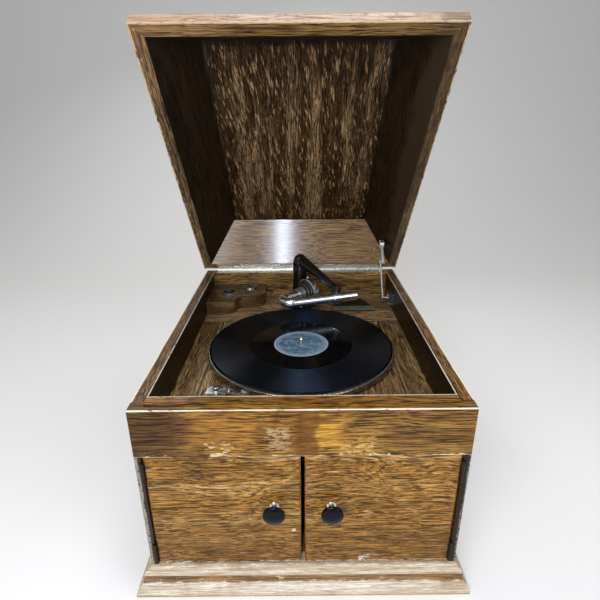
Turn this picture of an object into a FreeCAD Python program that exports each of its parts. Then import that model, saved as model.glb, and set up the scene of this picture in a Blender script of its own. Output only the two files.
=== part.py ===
"""Tabletop gramophone in oak: cabinet with two doors, open lid, spring motor, turntable and folding tone arm.

Millimetres, +Z up, +X to the viewer's right, +Y towards the back. The origin is on the table, under the
centre of the cabinet. The lid is modelled open, at the angle where its stay holds it.
"""
import FreeCAD, Part
import math
import os
from types import SimpleNamespace

import Sketcher
from FreeCAD import Placement, Rotation, Vector

DIMENSIONS = {
    "cabinet_width": 406,
    "cabinet_depth": 520,
    "rim_height": 282,
    "wall": 17,
    "base_height": 38,
    "base_overhang": 19,
    "bottom_board_thickness": 10,
    "rail_height": 67,
    "edge_strip": 8,
    "lip_width": 10,
    "lip_rise": 2.5,
    "lip_cover": 6,
    "edge_round": 2,
    "well_depth": 53,
    "board_thickness": 13,
    "motor_board_width": 302,
    "shelf_depth": 138,
    "board_gap": 0.8,
    "cleat_height": 20,
    "cleat_width": 40,
    "cleat_set_back": 40,
    "door_thickness": 16,
    "door_clearance": 1,
    "door_meeting_gap": 5,
    "door_bevel": 2,
    "door_leaf_thickness": 0.9,
    "door_leaf_width": 14,
    "door_hinge_length": 32,
    "door_hinge_inset": 22,
    "door_knuckle_radius": 2.2,
    "leaf_clearance": 0.3,
    "pin_clearance": 0.05,
    "knob_spacing": 72,
    "knob_height": 139,
    "knob_radius": 13.5,
    "knob_reach": 22,
    "knob_dome": 28,
    "stem_radius": 4,
    "lid_overhang": 6,
    "lid_front_overhang": 8,
    "lid_rim_width": 17,
    "lid_rim_height": 24,
    "lid_depth": 80,
    "lid_inset": 52,
    "lid_board_thickness": 15,
    "lid_panel_thickness": 12,
    "lid_open_angle": 52,
    "lid_gap": 0.3,
    "hinge_offset": 3,
    "hinge_end_margin": 6,
    "hinge_leaf_width": 15,
    "hinge_leaf_thickness": 1.5,
    "hinge_knuckle_radius": 2.6,
    "hinge_pin_radius": 1.4,
    "hinge_knuckles": 12,
    "stay_wall_gap": 16,
    "stay_pivot_along": 70,
    "stay_pivot_depth": 14,
    "stay_foot_inset": 100,
    "stay_foot_rise": 25,
    "stay_rod_radius": 4,
    "stay_rod_length": 44,
    "stay_channel_length": 78,
    "stay_channel_width": 10,
    "stay_channel_thickness": 2,
    "spindle_to_shelf": 124,
    "spindle_radius": 3.6,
    "spindle_tip": 12,
    "record_radius": 150,
    "record_thickness": 2,
    "label_radius": 45,
    "label_thickness": 0.2,
    "turntable_radius": 152.5,
    "turntable_height": 8,
    "turntable_sheet": 2,
    "felt_thickness": 1,
    "felt_margin": 2.5,
    "record_height": 15,
    "plate_thickness": 4,
    "motor_height": 58,
    "motor_left": 70,
    "motor_right": 138,
    "motor_ahead": 61,
    "motor_clearance": 3,
    "pillar_radius": 5,
    "pillar_inset": 12,
    "gear_width": 4,
    "gear_pitch": 1,
    "gear_backlash": 0.3,
    "spindle_teeth": 12,
    "wheel_teeth": 60,
    "pinion_teeth": 20,
    "barrel_teeth": 100,
    "governor_pitch": 0.8,
    "governor_wheel_teeth": 72,
    "governor_teeth": 10,
    "barrel_radius": 43,
    "barrel_height": 34,
    "arbor_radius": 4,
    "governor_swing": 15,
    "governor_shaft_radius": 2.5,
    "governor_hub": 6.5,
    "governor_disc_thickness": 1.5,
    "wheel_bearing": 10,
    "barrel_bearing": 51,
    "governor_bearing": 200,
    "crank_drop": 20,
    "crank_shaft_radius": 5,
    "crank_throw": 92,
    "crank_stand_off": 30,
    "crank_arm_thickness": 7,
    "gear_case_reach": 22,
    "grip_length": 62,
    "grip_radius": 10,
    "grip_bow": 60,
    "escutcheon_radius": 17,
    "bracket_inset": 68,
    "bracket_height": 72,
    "bracket_radius": 16.5,
    "bracket_top_radius": 14,
    "bracket_flange_radius": 32,
    "bracket_bore": 8.5,
    "throat_radius": 18,
    "elbow_wall": 4,
    "elbow_bend": 60,
    "horn_wall": 7,
    "bracket_flange_edge": 3,
    "bracket_foot_height": 11,
    "arm_spigot": 15,
    "arm_shoulder": 16,
    "arm_crown_round": 14,
    "arm_head_height": 36,
    "arm_reach": 68,
    "arm_forward": 80,
    "arm_drop": 32.7,
    "arm_root_radius": 12,
    "arm_tip_radius": 5.5,
    "tube_radius": 9,
    "tube_wall": 1.2,
    "tube_right": 40,
    "tube_left": 85,
    "tube_bend": 15,
    "tube_end": 34,
    "tube_yaw": 17,
    "tube_turn": 159,
    "collar_wall": 2.5,
    "collar_length": 12,
    "swivel_gap": 0.3,
    "swivel_neck": 1,
    "sound_box_radius": 26,
    "sound_box_depth": 27,
    "needle_reach": 29.6,
    "needle_bearing": 60,
    "block_height": 26,
    "block_length": 113,
    "block_depth": 103,
    "block_nose": 38,
    "block_bulge": 19,
    "block_hollow": 12.5,
    "block_step": 0.5,
    "block_corner": 26,
    "block_floor": 6,
    "cup_radius": 14,
    "cup_wall": 1.2,
    "cup_set_in": 38,
    "cup_set_back": 57,
    "cover_set_in": 34,
    "cover_edge": 4,
    "brake_across": 122,
    "brake_ahead": 121,
    "brake_lever_length": 44,
    "brake_bar_thickness": 3,
    "brake_post_radius": 3,
    "brake_plate_length": 30,
    "brake_plate_width": 18,
    "brake_plate_thickness": 2,
    "brake_pad_thickness": 3,
    "brake_pad_width": 12,
    "brake_pad_gap": 0.4,
}

doc = FreeCAD.newDocument("gramophone")
sheet = doc.addObject("Spreadsheet::Sheet", "sizes")
for row, (alias, number) in enumerate(DIMENSIONS.items(), 1):
    sheet.set(f"A{row}", alias)
    sheet.set(f"B{row}", str(number))
    sheet.setAlias(f"B{row}", alias)
doc.recompute()


class Size:
    """A length from the sheet, or a sum of such lengths, with its number and the formula that gives it."""

    def __init__(self, value, formula):
        self.value = value
        self.formula = formula

    def __float__(self):
        return self.value

    def __add__(self, other):
        other = as_size(other)
        return Size(self.value + other.value, f"({self.formula} + {other.formula})")

    def __sub__(self, other):
        other = as_size(other)
        return Size(self.value - other.value, f"({self.formula} - {other.formula})")

    def __mul__(self, other):
        other = as_size(other)
        return Size(self.value * other.value, f"({self.formula} * {other.formula})")

    def __truediv__(self, other):
        other = as_size(other)
        return Size(self.value / other.value, f"({self.formula} / {other.formula})")

    def __neg__(self):
        return as_size(0) - self

    def __radd__(self, other):
        return as_size(other) + self

    def __rsub__(self, other):
        return as_size(other) - self

    def __rmul__(self, other):
        return as_size(other) * self


def as_size(amount):
    return amount if isinstance(amount, Size) else Size(float(amount), repr(float(amount)))


size = SimpleNamespace(**{
    alias: Size(float(sheet.get(alias)), f"sizes.{alias}") for alias in DIMENSIONS
})
pieces = {}


def keep(label, solid):
    """Name a finished piece; its label names its file."""
    solid.Label = label
    pieces[label] = solid
    return solid


def bind(thing, prop, amount):
    thing.setExpression(prop, as_size(amount).formula)


def place(solid, x, y, z):
    """Move a piece by amounts that follow the sheet."""
    for axis, amount in zip("xyz", (x, y, z)):
        bind(solid, f"Placement.Base.{axis}", amount)
    return solid


def pose(solid, placement):
    """Place a piece whose position is turned as well as moved."""
    for axis in "xyz":
        solid.setExpression(f"Placement.Base.{axis}", None)
    solid.Placement = placement
    return solid


def turned_at(point, axis=(0, 0, 1), angle=0):
    return Placement(Vector(*(float(c) for c in point)), Rotation(Vector(*axis), float(angle)))


def box(name, corner, extent):
    solid = doc.addObject("Part::Box", name)
    for prop, amount in zip(("Length", "Width", "Height"), extent):
        bind(solid, prop, amount)
    return place(solid, *corner)


def cylinder(name, radius, height, base=(0, 0, 0)):
    solid = doc.addObject("Part::Cylinder", name)
    bind(solid, "Radius", radius)
    bind(solid, "Height", height)
    return place(solid, *base)


def cone(name, low_radius, high_radius, height):
    solid = doc.addObject("Part::Cone", name)
    bind(solid, "Radius1", low_radius)
    bind(solid, "Radius2", high_radius)
    bind(solid, "Height", height)
    return solid


def fuse(name, *solids):
    joined = doc.addObject("Part::MultiFuse", name)
    joined.Shapes = list(solids)
    joined.Refine = True
    return joined


def cut(name, base, *tools):
    result = doc.addObject("Part::Cut", name)
    result.Base = base
    result.Tool = tools[0] if len(tools) == 1 else fuse(name + "_tools", *tools)
    return result


def group(name, solids):
    """Loose copies of one fitting that share a node."""
    bundle = doc.addObject("Part::Compound", name)
    bundle.Links = list(solids)
    return bundle


def new_body(name):
    return doc.addObject("PartDesign::Body", name)


def new_sketch(body, plane, offset=0):
    sketch = body.newObject("Sketcher::SketchObject", body.Name + "_sketch")
    origin_plane = next(f for f in body.Origin.OriginFeatures if f.Role == plane)
    sketch.AttachmentSupport = [(origin_plane, "")]
    sketch.MapMode = "FlatFace"
    bind(sketch, "AttachmentOffset.Base.z", offset)
    return sketch


def arc_between(start, end, radius):
    """Arc from start to end; a positive radius has its centre on the left of the way along."""
    chord = end - start
    half = chord.Length / 2
    rise = math.sqrt(max(radius * radius - half * half, 0.0))
    left = Vector(-chord.y, chord.x, 0).normalize()
    centre = (start + end) * 0.5 + left * (rise if radius > 0 else -rise)
    first, last = (start, end) if radius > 0 else (end, start)
    angles = [math.atan2(p.y - centre.y, p.x - centre.x) for p in (first, last)]
    return Part.ArcOfCircle(Part.Circle(centre, Vector(0, 0, 1), abs(radius)), *angles)


def draw(sketch, corners):
    """Closed outline. Each corner is (across, up) or (across, up, radius of the arc to the next corner)."""
    spots = [Vector(float(c[0]), float(c[1]), 0) for c in corners]
    ends = []
    for index, corner in enumerate(corners):
        here, after = spots[index], spots[(index + 1) % len(spots)]
        if len(corner) == 3:
            curve = sketch.addGeometry(arc_between(here, after, float(corner[2])))
            ends.append((curve, 1, 2) if float(corner[2]) > 0 else (curve, 2, 1))
        else:
            ends.append((sketch.addGeometry(Part.LineSegment(here, after)), 1, 2))
    for index, (curve, first, last) in enumerate(ends):
        after = ends[(index + 1) % len(ends)]
        sketch.addConstraint(Sketcher.Constraint("Coincident", curve, last, after[0], after[1]))
        for kind, amount in zip(("DistanceX", "DistanceY"), corners[index]):
            number = sketch.addConstraint(Sketcher.Constraint(kind, -1, 1, curve, first, float(amount)))
            bind(sketch, f"Constraints[{number}]", amount)
        if len(corners[index]) == 3:
            radius = corners[index][2]
            number = sketch.addConstraint(Sketcher.Constraint("Radius", curve, abs(float(radius))))
            bind(sketch, f"Constraints[{number}]", radius if float(radius) > 0 else -as_size(radius))
    return sketch


def draw_circle(sketch, across, up, radius):
    spot = Vector(float(across), float(up), 0)
    curve = sketch.addGeometry(Part.Circle(spot, Vector(0, 0, 1), float(radius)))
    for kind, amount in zip(("DistanceX", "DistanceY"), (across, up)):
        number = sketch.addConstraint(Sketcher.Constraint(kind, -1, 1, curve, 3, float(amount)))
        bind(sketch, f"Constraints[{number}]", amount)
    number = sketch.addConstraint(Sketcher.Constraint("Radius", curve, float(radius)))
    bind(sketch, f"Constraints[{number}]", radius)
    return sketch


def rectangle(left, low, right, high):
    return [(left, low), (right, low), (right, high), (left, high)]


def pad(body, sketch, length, both_ways=False):
    feature = body.newObject("PartDesign::Pad", body.Name + "_pad")
    feature.Profile = sketch
    bind(feature, "Length", length)
    if both_ways:
        feature.SideType = "Symmetric"
    doc.recompute()
    return feature


def cut_through(body, sketch):
    """Cut an outline right through the body, upwards from the plane it is drawn on."""
    before = body.Shape.Volume
    feature = body.newObject("PartDesign::Pocket", body.Name + "_cut")
    feature.Profile = sketch
    feature.Type = "ThroughAll"
    feature.Reversed = True
    doc.recompute()
    if body.Shape.Volume > before - 1e-6:
        raise RuntimeError(f"{body.Name}: the cut misses the solid")
    return feature


def soften(body, feature, kind, amount, chosen):
    """Round or bevel the edges that the test picks."""
    names = [f"Edge{n}" for n, edge in enumerate(feature.Shape.Edges, 1) if chosen(edge)]
    if not names:
        raise RuntimeError(f"{body.Name}: no edge to soften")
    dressed = body.newObject(f"PartDesign::{kind}", body.Name + "_" + kind.lower())
    dressed.Base = (feature, names)
    bind(dressed, "Radius" if kind == "Fillet" else "Size", amount)
    doc.recompute()
    return dressed


def edge_in_plane(axis, value):
    """Test for edges that lie in a plane square to an axis."""
    def chosen(edge):
        return all(abs(getattr(v.Point, axis) - float(value)) < 1e-4 for v in edge.Vertexes)
    return chosen


def slab(name, plane, corners, thickness, offset=0, both_ways=False):
    """A board or plate: one outline given a thickness."""
    body = new_body(name)
    pad(body, draw(new_sketch(body, plane, offset), corners), thickness, both_ways)
    return body


def turned(name, corners):
    """A round piece: an outline of (radius, height) spun about the upright axis."""
    body = new_body(name)
    sketch = draw(new_sketch(body, "XZ_Plane"), corners)
    feature = body.newObject("PartDesign::Revolution", name + "_spin")
    feature.Profile = sketch
    feature.ReferenceAxis = (sketch, ["V_Axis"])
    feature.Angle = 360
    doc.recompute()
    return body


def mitred(name, corners, length, reach, ends=(True, True)):
    """A moulding or board along X, its outer edge at Y 0, with its ends cut at 45 degrees."""
    body = new_body(name)
    pad(body, draw(new_sketch(body, "YZ_Plane"), corners), length, both_ways=True)
    for sign, wanted in zip((-1, 1), ends):
        if wanted:
            end = length / 2 * sign
            corner = [(end, 0), (end, reach), (end - reach * sign, reach)]
            cut_through(body, draw(new_sketch(body, "XY_Plane"), corner))
    return body


half = size.cabinet_width / 2
front = -size.cabinet_depth / 2
back = size.cabinet_depth / 2
inner = half - size.wall
rim = size.rim_height
rail_bottom = rim - size.rail_height
rail_back = front + size.wall
lip_back = rail_back + size.lip_width
board_top = rim - size.well_depth
board_bottom = board_top - size.board_thickness
back_inner = back - size.wall
shelf_front = back_inner - size.shelf_depth
door_half_height = (rail_bottom - size.base_height) / 2
spindle_x = as_size(0)
spindle_y = shelf_front - size.spindle_to_shelf
record_top = board_top + size.record_height
hinge_length = (inner - size.hinge_end_margin) * 2
bracket_y = back - size.bracket_inset


def side_panel(side):
    """Side board: its front edge shows beside the door, and the door shuts into a rebate behind it."""
    name = f"side_panel_{side}"
    body = new_body(name)
    outer = -half if side == "left" else half - size.edge_strip
    inside = -half + size.edge_strip if side == "left" else inner
    strip = [
        (front, size.base_height), (back, size.base_height), (back, rim),
        (rail_back, rim), (rail_back, rail_bottom), (front, rail_bottom),
    ]
    pad(body, draw(new_sketch(body, "YZ_Plane", outer), strip), size.edge_strip)
    rebated = rectangle(rail_back, size.base_height, back, rim)
    pad(body, draw(new_sketch(body, "YZ_Plane", inside), rebated), size.wall - size.edge_strip)
    if side == "right":
        hole = new_sketch(body, "YZ_Plane")
        draw_circle(hole, barrel_spot.y, crank_level, size.crank_shaft_radius + 2)
        cut_through(body, hole)
    return keep(name, body)


def back_panel():
    """Back board, let in along its top for the lid hinge."""
    half_hinge = hinge_length / 2 + size.leaf_clearance
    low = rim + size.lid_gap / 2 - size.hinge_leaf_thickness - size.leaf_clearance / 2
    corners = [
        (-inner, size.base_height), (inner, size.base_height), (inner, rim), (half_hinge, rim),
        (half_hinge, low), (-half_hinge, low), (-half_hinge, rim), (-inner, rim),
    ]
    return keep("back_panel", slab("back_panel", "XZ_Plane", corners, size.wall, -back))


def front_rail():
    """Deep rail across the front, over the doors, with a softened top edge and a bevelled lower one."""
    body = slab("front_rail", "XZ_Plane", rectangle(-half, rail_bottom, half, rim), size.wall, -rail_back)
    top = soften(body, body.Tip, "Fillet", size.edge_round,
                 lambda e: edge_in_plane("z", rim)(e) and edge_in_plane("y", front)(e))
    soften(body, top, "Chamfer", size.edge_round / 2,
           lambda e: edge_in_plane("z", rail_bottom)(e) and edge_in_plane("y", front)(e))
    return keep("front_rail", body)


def front_lip():
    """Dust lip behind the rail, standing a little above the rim and lapping over the rail."""
    height = size.well_depth + size.board_thickness + size.lip_rise
    top, lapped = board_bottom + height, rail_back - size.lip_cover
    corners = [
        (rail_back, board_bottom), (lip_back, board_bottom), (lip_back, top), (lapped, top), (lapped, rim), (rail_back, rim),
    ]
    body = slab("front_lip", "YZ_Plane", corners, inner * 2, both_ways=True)
    soften(body, body.Tip, "Fillet", size.edge_round,
           lambda e: edge_in_plane("z", top)(e) and edge_in_plane("y", lip_back)(e))
    return keep("front_lip", body)


def base_profile():
    """Section of the base moulding, from its outer edge inwards: foot, slope, cove, bead, groove and fillet."""
    over, high = size.base_overhang, size.base_height
    return [
        (0, 0), (over + size.wall, 0), (over + size.wall, high), (over - 1, high),
        (over - 4, high - 4), (over - 4, high - 5.5), (over - 6, high - 5.5, 5), (over - 7, high - 14),
        (over - 8, high - 15, -12), (4.5, 14), (3.5, 13), (0, 5),
    ]


def base():
    """Moulded base on three sides, a plain rail at the back and a bottom board inside."""
    over = size.base_overhang
    reach = over + size.wall
    long_front = (half + over) * 2
    long_side = size.cabinet_depth + over
    piece = mitred("base_moulding_front", base_profile(), long_front, reach)
    keep("base_moulding_front", place(piece, 0, front - over, 0))
    sides = []
    for sign, ends in ((-1, (False, True)), (1, (True, False))):
        piece = mitred("base_moulding_side", base_profile(), long_side, reach, ends)
        sides.append(pose(piece, turned_at(((half + over) * sign, -over / 2, 0), angle=90 * sign)))
    keep("base_moulding_sides", group("base_moulding_sides", sides))
    span = (half - size.wall) * 2
    rail = box("base_rail_back", (-inner, back_inner, 0), (span, size.wall, size.base_height))
    keep("base_rail_back", rail)
    floor = box("bottom_board", (-inner, rail_back, 0),
                (span, size.cabinet_depth - size.wall * 2, size.bottom_board_thickness))
    keep("bottom_board", floor)


def boards():
    """The floor of the well: rear shelf, side strips and the lift-out motor board, on cleats."""
    board_half = size.motor_board_width / 2
    strip = inner - board_half
    run = shelf_front - lip_back
    thick = size.board_thickness
    strips = [
        box("surround_strip", (corner, lip_back, board_bottom), (strip, run, thick)) for corner in (-inner, board_half)
    ]
    keep("board_surround", group("board_surround", strips))
    shelf = box("shelf_board", (-inner, shelf_front, board_bottom), (inner * 2, size.shelf_depth, thick))
    throat = cylinder("shelf_throat", size.throat_radius, thick, (0, bracket_y, board_bottom))
    keep("rear_shelf", cut("rear_shelf", shelf, throat))
    gap = size.board_gap
    corners = rectangle(-board_half + gap, lip_back + gap, board_half - gap, shelf_front - gap)
    body = slab("motor_board", "XY_Plane", corners, thick, board_bottom)
    soften(body, body.Tip, "Chamfer", gap, edge_in_plane("z", board_top))
    hole = new_sketch(body, "XY_Plane")
    draw_circle(hole, 0, spindle_y, size.spindle_radius + 4)
    cut_through(body, hole)
    keep("motor_board", body)
    low = board_bottom - size.cleat_height
    wide, tall = size.cleat_width, size.cleat_height
    start = lip_back + size.cleat_set_back
    cleats = [
        box("board_cleat", (corner, start, low), (wide, back_inner - start, tall)) for corner in (-inner, inner - wide)
    ]
    cleats.append(box("board_cross", (-inner + wide, shelf_front - tall / 2, low), (inner * 2 - wide * 2, tall, tall)))
    keep("board_cleats", group("board_cleats", cleats))
    heads = []
    for x in (-1, 1):
        for y in (lip_back + 9, shelf_front - 9):
            head = turned("board_screw", [(0, 0), (4.5, 0), (4.5, 0.6, 6), (0.5, 2.2), (0, 2.2)])
            heads.append(place(head, (board_half - 9) * x, y, board_top))
    keep("board_screws", group("board_screws", heads))


def door(side):
    """Flat oak door, bevelled round its face, with its knob and the hinge leaves on its edge."""
    sign = -1 if side == "left" else 1
    edge = half - size.edge_strip - size.door_leaf_thickness * 2 - size.leaf_clearance
    meeting = size.door_meeting_gap / 2
    left, right = (-edge, -meeting) if side == "left" else (meeting, edge)
    low = size.base_height + size.door_clearance
    high = rail_bottom - size.door_clearance
    body = slab(f"door_{side}", "XZ_Plane", rectangle(left, low, right, high), size.door_thickness,
                -(front + size.door_thickness))
    soften(body, body.Tip, "Chamfer", size.door_bevel, edge_in_plane("y", front))
    keep(f"door_{side}", body)
    reach, wide, stem = size.knob_reach, size.knob_radius, size.stem_radius
    knob = turned(f"knob_{side}", [
        (0, 0), (stem + 2, 0), (stem + 2, 1.5), (stem, 3), (stem, reach - 9), (wide, reach - 6.5, 2.6),
        (wide - 0.5, reach - 3, size.knob_dome), (0.5, reach), (0, reach),
    ])
    spot = (size.knob_spacing / 2 * sign, front, size.knob_height)
    keep(f"knob_{side}", pose(knob, turned_at(spot, (1, 0, 0), 90)))
    door_hinges(side, sign)


def hinge_leaf(name, length, width, thickness, radius, pin, knuckles, first):
    """Hinge leaf along X: its plate below the axis, every second knuckle its own, bored for the pin."""
    clear = size.leaf_clearance
    pitch = length / knuckles
    below = -thickness - clear / 2
    plate = box(name + "_plate", (-length / 2, -width - radius, below), (length, width - clear, thickness))
    parts = [plate]
    for index in range(first, round(float(knuckles)), 2):
        start = -length / 2 + pitch * index + clear / 2
        barrel = cylinder(name + "_knuckle", radius, pitch - clear)
        pose(barrel, turned_at((start, 0, 0), (0, 1, 0), 90))
        web = box(name + "_web", (start, -radius - clear, below), (pitch - clear, radius + clear, thickness))
        parts += [barrel, web]
    bore = cylinder(name + "_bore", pin + size.pin_clearance, length)
    pose(bore, turned_at((-length / 2, 0, 0), (0, 1, 0), 90))
    return cut(name, fuse(name + "_leaf", *parts), bore)


def leaf_turn(towards):
    """Turn of an upright hinge leaf whose plate lies on the side given, -1 left or 1 right."""
    return Rotation(Vector(0, 0, -towards), Vector(0, -1, 0), Vector(-towards, 0, 0), "XYZ")


frame_hinges = []


def door_hinges(side, sign):
    """Two butt hinges on the outer edge of a door: a leaf on the door, a leaf on the cabinet and a pin."""
    axis_x = (half - size.edge_strip - size.door_leaf_thickness - size.leaf_clearance / 2) * sign
    axis_y = front - size.door_knuckle_radius - size.leaf_clearance
    middle = size.base_height + door_half_height
    away = door_half_height - size.door_hinge_inset
    long, pin_radius = size.door_hinge_length, size.door_knuckle_radius / 2
    door_leaves = []
    for level in (-1, 1):
        spot = Vector(float(axis_x), float(axis_y), float(middle + away * level))
        for holder, first, towards in ((door_leaves, 1, -sign), (frame_hinges, 0, sign)):
            leaf = hinge_leaf(f"{side}_door_leaf", long, size.door_leaf_width, size.door_leaf_thickness,
                              size.door_knuckle_radius, pin_radius, as_size(5), first)
            holder.append(pose(leaf, Placement(spot, leaf_turn(towards))))
        pin = cylinder(f"{side}_door_pin", pin_radius, long)
        frame_hinges.append(pose(pin, Placement(spot - Vector(0, 0, float(long) / 2), Rotation())))
    name = f"door_leaves_{side}"
    keep(name, group(name, door_leaves))


lid_half = half + size.lid_overhang
lid_rear = -size.hinge_offset
lid_front = lid_rear - size.cabinet_depth - size.lid_front_overhang
lid_slope = size.lid_inset / size.lid_depth
lid_base = size.lid_gap / 2
hinge_y = back + size.hinge_offset
hinge_z = rim + size.lid_gap / 2
lid_frame = turned_at((0, hinge_y, hinge_z), (1, 0, 0), -float(size.lid_open_angle))


def lid_inside(depth):
    """How far the inner face lies in from the lid's outer edge, at a depth from its rim."""
    return size.lid_rim_width + lid_slope * depth


def lid_rim_profile(recess):
    """Section of the rim frame: flat underside and outer face, a bead on top, inner face on the slope of the boards."""
    tall = size.lid_rim_height
    return [
        (0, recess), (lid_inside(recess), recess), (lid_inside(tall), tall),
        (lid_inside(tall) - size.lid_board_thickness, tall), (6, tall), (4.5, tall - 1.5, 3.2),
        (1.5, tall - 4.5), (0, tall - 5),
    ]


def lid_board_profile():
    tall, deep, thick = size.lid_rim_height, size.lid_depth, size.lid_board_thickness
    return [
        (lid_inside(tall) - thick, tall), (lid_inside(tall), tall),
        (lid_inside(deep), deep), (lid_inside(deep) - thick, deep),
    ]


def lid():
    """Lid like a shallow hipped roof: a moulded rim frame, four sloping boards and a flat top panel."""
    middle = (lid_rear + lid_front) / 2
    reach = lid_inside(size.lid_depth)
    sides = {
        "front": ((0, lid_front, lid_base), 0, lid_half * 2),
        "rear": ((0, lid_rear, lid_base), 180, lid_half * 2),
        "left": ((-lid_half, middle, lid_base), -90, lid_rear - lid_front),
        "right": ((lid_half, middle, lid_base), 90, lid_rear - lid_front),
    }
    rims, sloped = [], []
    for side, (spot, turn, length) in sides.items():
        on_lid = lid_frame.multiply(turned_at(spot, angle=turn))
        recess = size.hinge_leaf_thickness + size.lid_gap / 2 if side == "rear" else as_size(0)
        rim_piece = mitred(f"lid_rim_{side}", lid_rim_profile(recess), length, lid_inside(size.lid_rim_height))
        rims.append(pose(rim_piece, on_lid))
        board = mitred(f"lid_board_{side}", lid_board_profile(), length, reach)
        sloped.append(pose(board, on_lid))
    keep("lid_rim_frame", group("lid_rim_frame", rims))
    keep("lid_boards", group("lid_boards", sloped))
    edge = reach - size.lid_board_thickness
    outline = rectangle(-lid_half + edge, lid_front + edge, lid_half - edge, lid_rear - edge)
    panel = slab("lid_top_panel", "XY_Plane", outline, size.lid_panel_thickness, lid_base + size.lid_depth)
    soften(panel, panel.Tip, "Chamfer", size.lid_panel_thickness / 2,
           edge_in_plane("z", lid_base + size.lid_depth + size.lid_panel_thickness))
    keep("lid_top_panel", pose(panel, lid_frame))


def lid_hinge():
    """Long strip hinge: one leaf let into the back panel, one into the lid, and a pin right through."""
    leaf_sizes = (hinge_length, size.hinge_leaf_width, size.hinge_leaf_thickness,
                  size.hinge_knuckle_radius, size.hinge_pin_radius, size.hinge_knuckles, 0)
    lower = place(hinge_leaf("lower_leaf", *leaf_sizes), 0, hinge_y, hinge_z)
    upper = hinge_leaf("lid_hinge_upper_leaf", *leaf_sizes)
    over = lid_frame.multiply(turned_at((0, 0, 0), (0, 1, 0), 180))
    keep("lid_hinge_upper_leaf", pose(upper, over))
    pin = cylinder("lid_hinge_pin", size.hinge_pin_radius, hinge_length)
    pose(pin, turned_at((-hinge_length / 2, hinge_y, hinge_z), (0, 1, 0), 90))
    keep("lid_hinge_lower_leaf", group("lid_hinge_lower_leaf", [lower, pin]))


def lid_stay():
    """Stay on the right: a rod hung from the lid, riding beside a flat channel pivoted on the cabinet wall."""
    plane, rod = inner - size.stay_wall_gap, size.stay_rod_radius
    clear, stud, ear = size.leaf_clearance, size.stay_rod_radius - 0.5, size.stay_rod_radius * 2
    along, deep = size.stay_pivot_along, size.stay_pivot_depth
    flat = plane + rod + clear
    channel_side = plane - rod - clear - size.stay_channel_thickness
    block = [
        (flat, deep - ear), (lid_half - lid_inside(deep - ear), deep - ear),
        (lid_half - lid_inside(deep + ear), deep + ear), (flat, deep + ear),
    ]
    ledge = slab("stay_ledge", "XZ_Plane", block, ear * 2, along - ear)
    upper_stud = cylinder("stay_upper_stud", stud, flat - plane + rod)
    pose(upper_stud, turned_at((plane - rod, -along, deep), (0, 1, 0), 90))
    upper = fuse("stay_upper_bracket", ledge, upper_stud)
    keep("stay_upper_bracket", pose(upper, lid_frame.multiply(turned_at((0, 0, lid_base)))))
    top = lid_frame.multVec(Vector(0, -float(along), float(deep + lid_base)))
    foot_y, foot_z = back - size.stay_foot_inset, board_top + size.stay_foot_rise
    foot = Vector(0, float(foot_y), float(foot_z))
    reach = foot - top
    eye = cylinder("stay_eye", ear, rod * 2)
    pose(eye, turned_at((-rod, 0, 0), (0, 1, 0), 90))
    shank = cylinder("stay_shank", rod, size.stay_rod_length, (0, 0, -size.stay_rod_length))
    bore = cylinder("stay_bore", stud + size.pin_clearance, rod * 4)
    pose(bore, turned_at((-rod * 2, 0, 0), (0, 1, 0), 90))
    lean = math.degrees(math.atan2(reach.y, -reach.z))
    hung = turned_at((plane, top.y, top.z), (1, 0, 0), lean)
    keep("stay_rod", pose(cut("stay_rod", fuse("stay_rod_blank", eye, shank), bore), hung))
    wide = size.stay_channel_width / 2
    long = size.stay_channel_length
    strip = [(-wide, 0, wide * 1.05), (wide, 0), (wide, long, wide * 1.05), (-wide, long)]
    channel = slab("stay_channel_strip", "YZ_Plane", strip, size.stay_channel_thickness)
    pivot = cylinder("stay_pivot_bore", stud + size.pin_clearance, size.stay_channel_thickness)
    pose(pivot, turned_at((0, 0, 0), (0, 1, 0), 90))
    keep("stay_channel", pose(cut("stay_channel", channel, pivot),
                              turned_at((channel_side, foot.y, foot.z), (1, 0, 0), lean)))
    seat = box("stay_seat", (flat, foot_y - ear * 1.5, foot_z - ear * 1.5),
               (inner - flat, ear * 3, ear * 3))
    lower_stud = cylinder("stay_lower_stud", stud, flat - channel_side)
    pose(lower_stud, turned_at((channel_side, foot.y, foot.z), (0, 1, 0), 90))
    keep("stay_lower_bracket", fuse("stay_lower_bracket", seat, lower_stud))


def turntable():
    """Pressed turntable with a rolled nickel skirt, its felt, and a record with its paper label."""
    hub, wide, sheet_thick = size.spindle_radius + size.pin_clearance, size.turntable_radius, size.turntable_sheet
    top = size.turntable_height
    plate = turned("turntable", [
        (hub, -1), (hub + 10, -1), (hub + 10, top - sheet_thick), (wide - 9, top - sheet_thick),
        (wide - 6, top - sheet_thick - 2), (wide - sheet_thick, top - sheet_thick - 2),
        (wide - sheet_thick, 0), (wide, 0), (wide, top - 2, 2), (wide - 2, top), (hub, top),
    ])
    low = record_top - size.record_thickness - size.felt_thickness - top
    keep("turntable", place(plate, 0, spindle_y, low))
    felt = turned("turntable_felt", rectangle(hub, 0, wide - size.felt_margin, size.felt_thickness))
    keep("turntable_felt", place(felt, 0, spindle_y, low + top))
    edge, thick, label = size.record_radius, size.record_thickness, size.label_radius
    sunk = thick - size.label_thickness
    grooves = label + 40
    disc = turned("record", [
        (hub, 0), (edge - 1, 0), (edge, thick / 2), (edge - 1, thick), (edge - 3, sunk - 0.1),
        (grooves, sunk - 0.1), (grooves - 1, sunk - 0.3), (label + 1, sunk - 0.3), (label, sunk), (hub, sunk),
    ])
    keep("record", place(disc, 0, spindle_y, record_top - thick))


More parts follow.
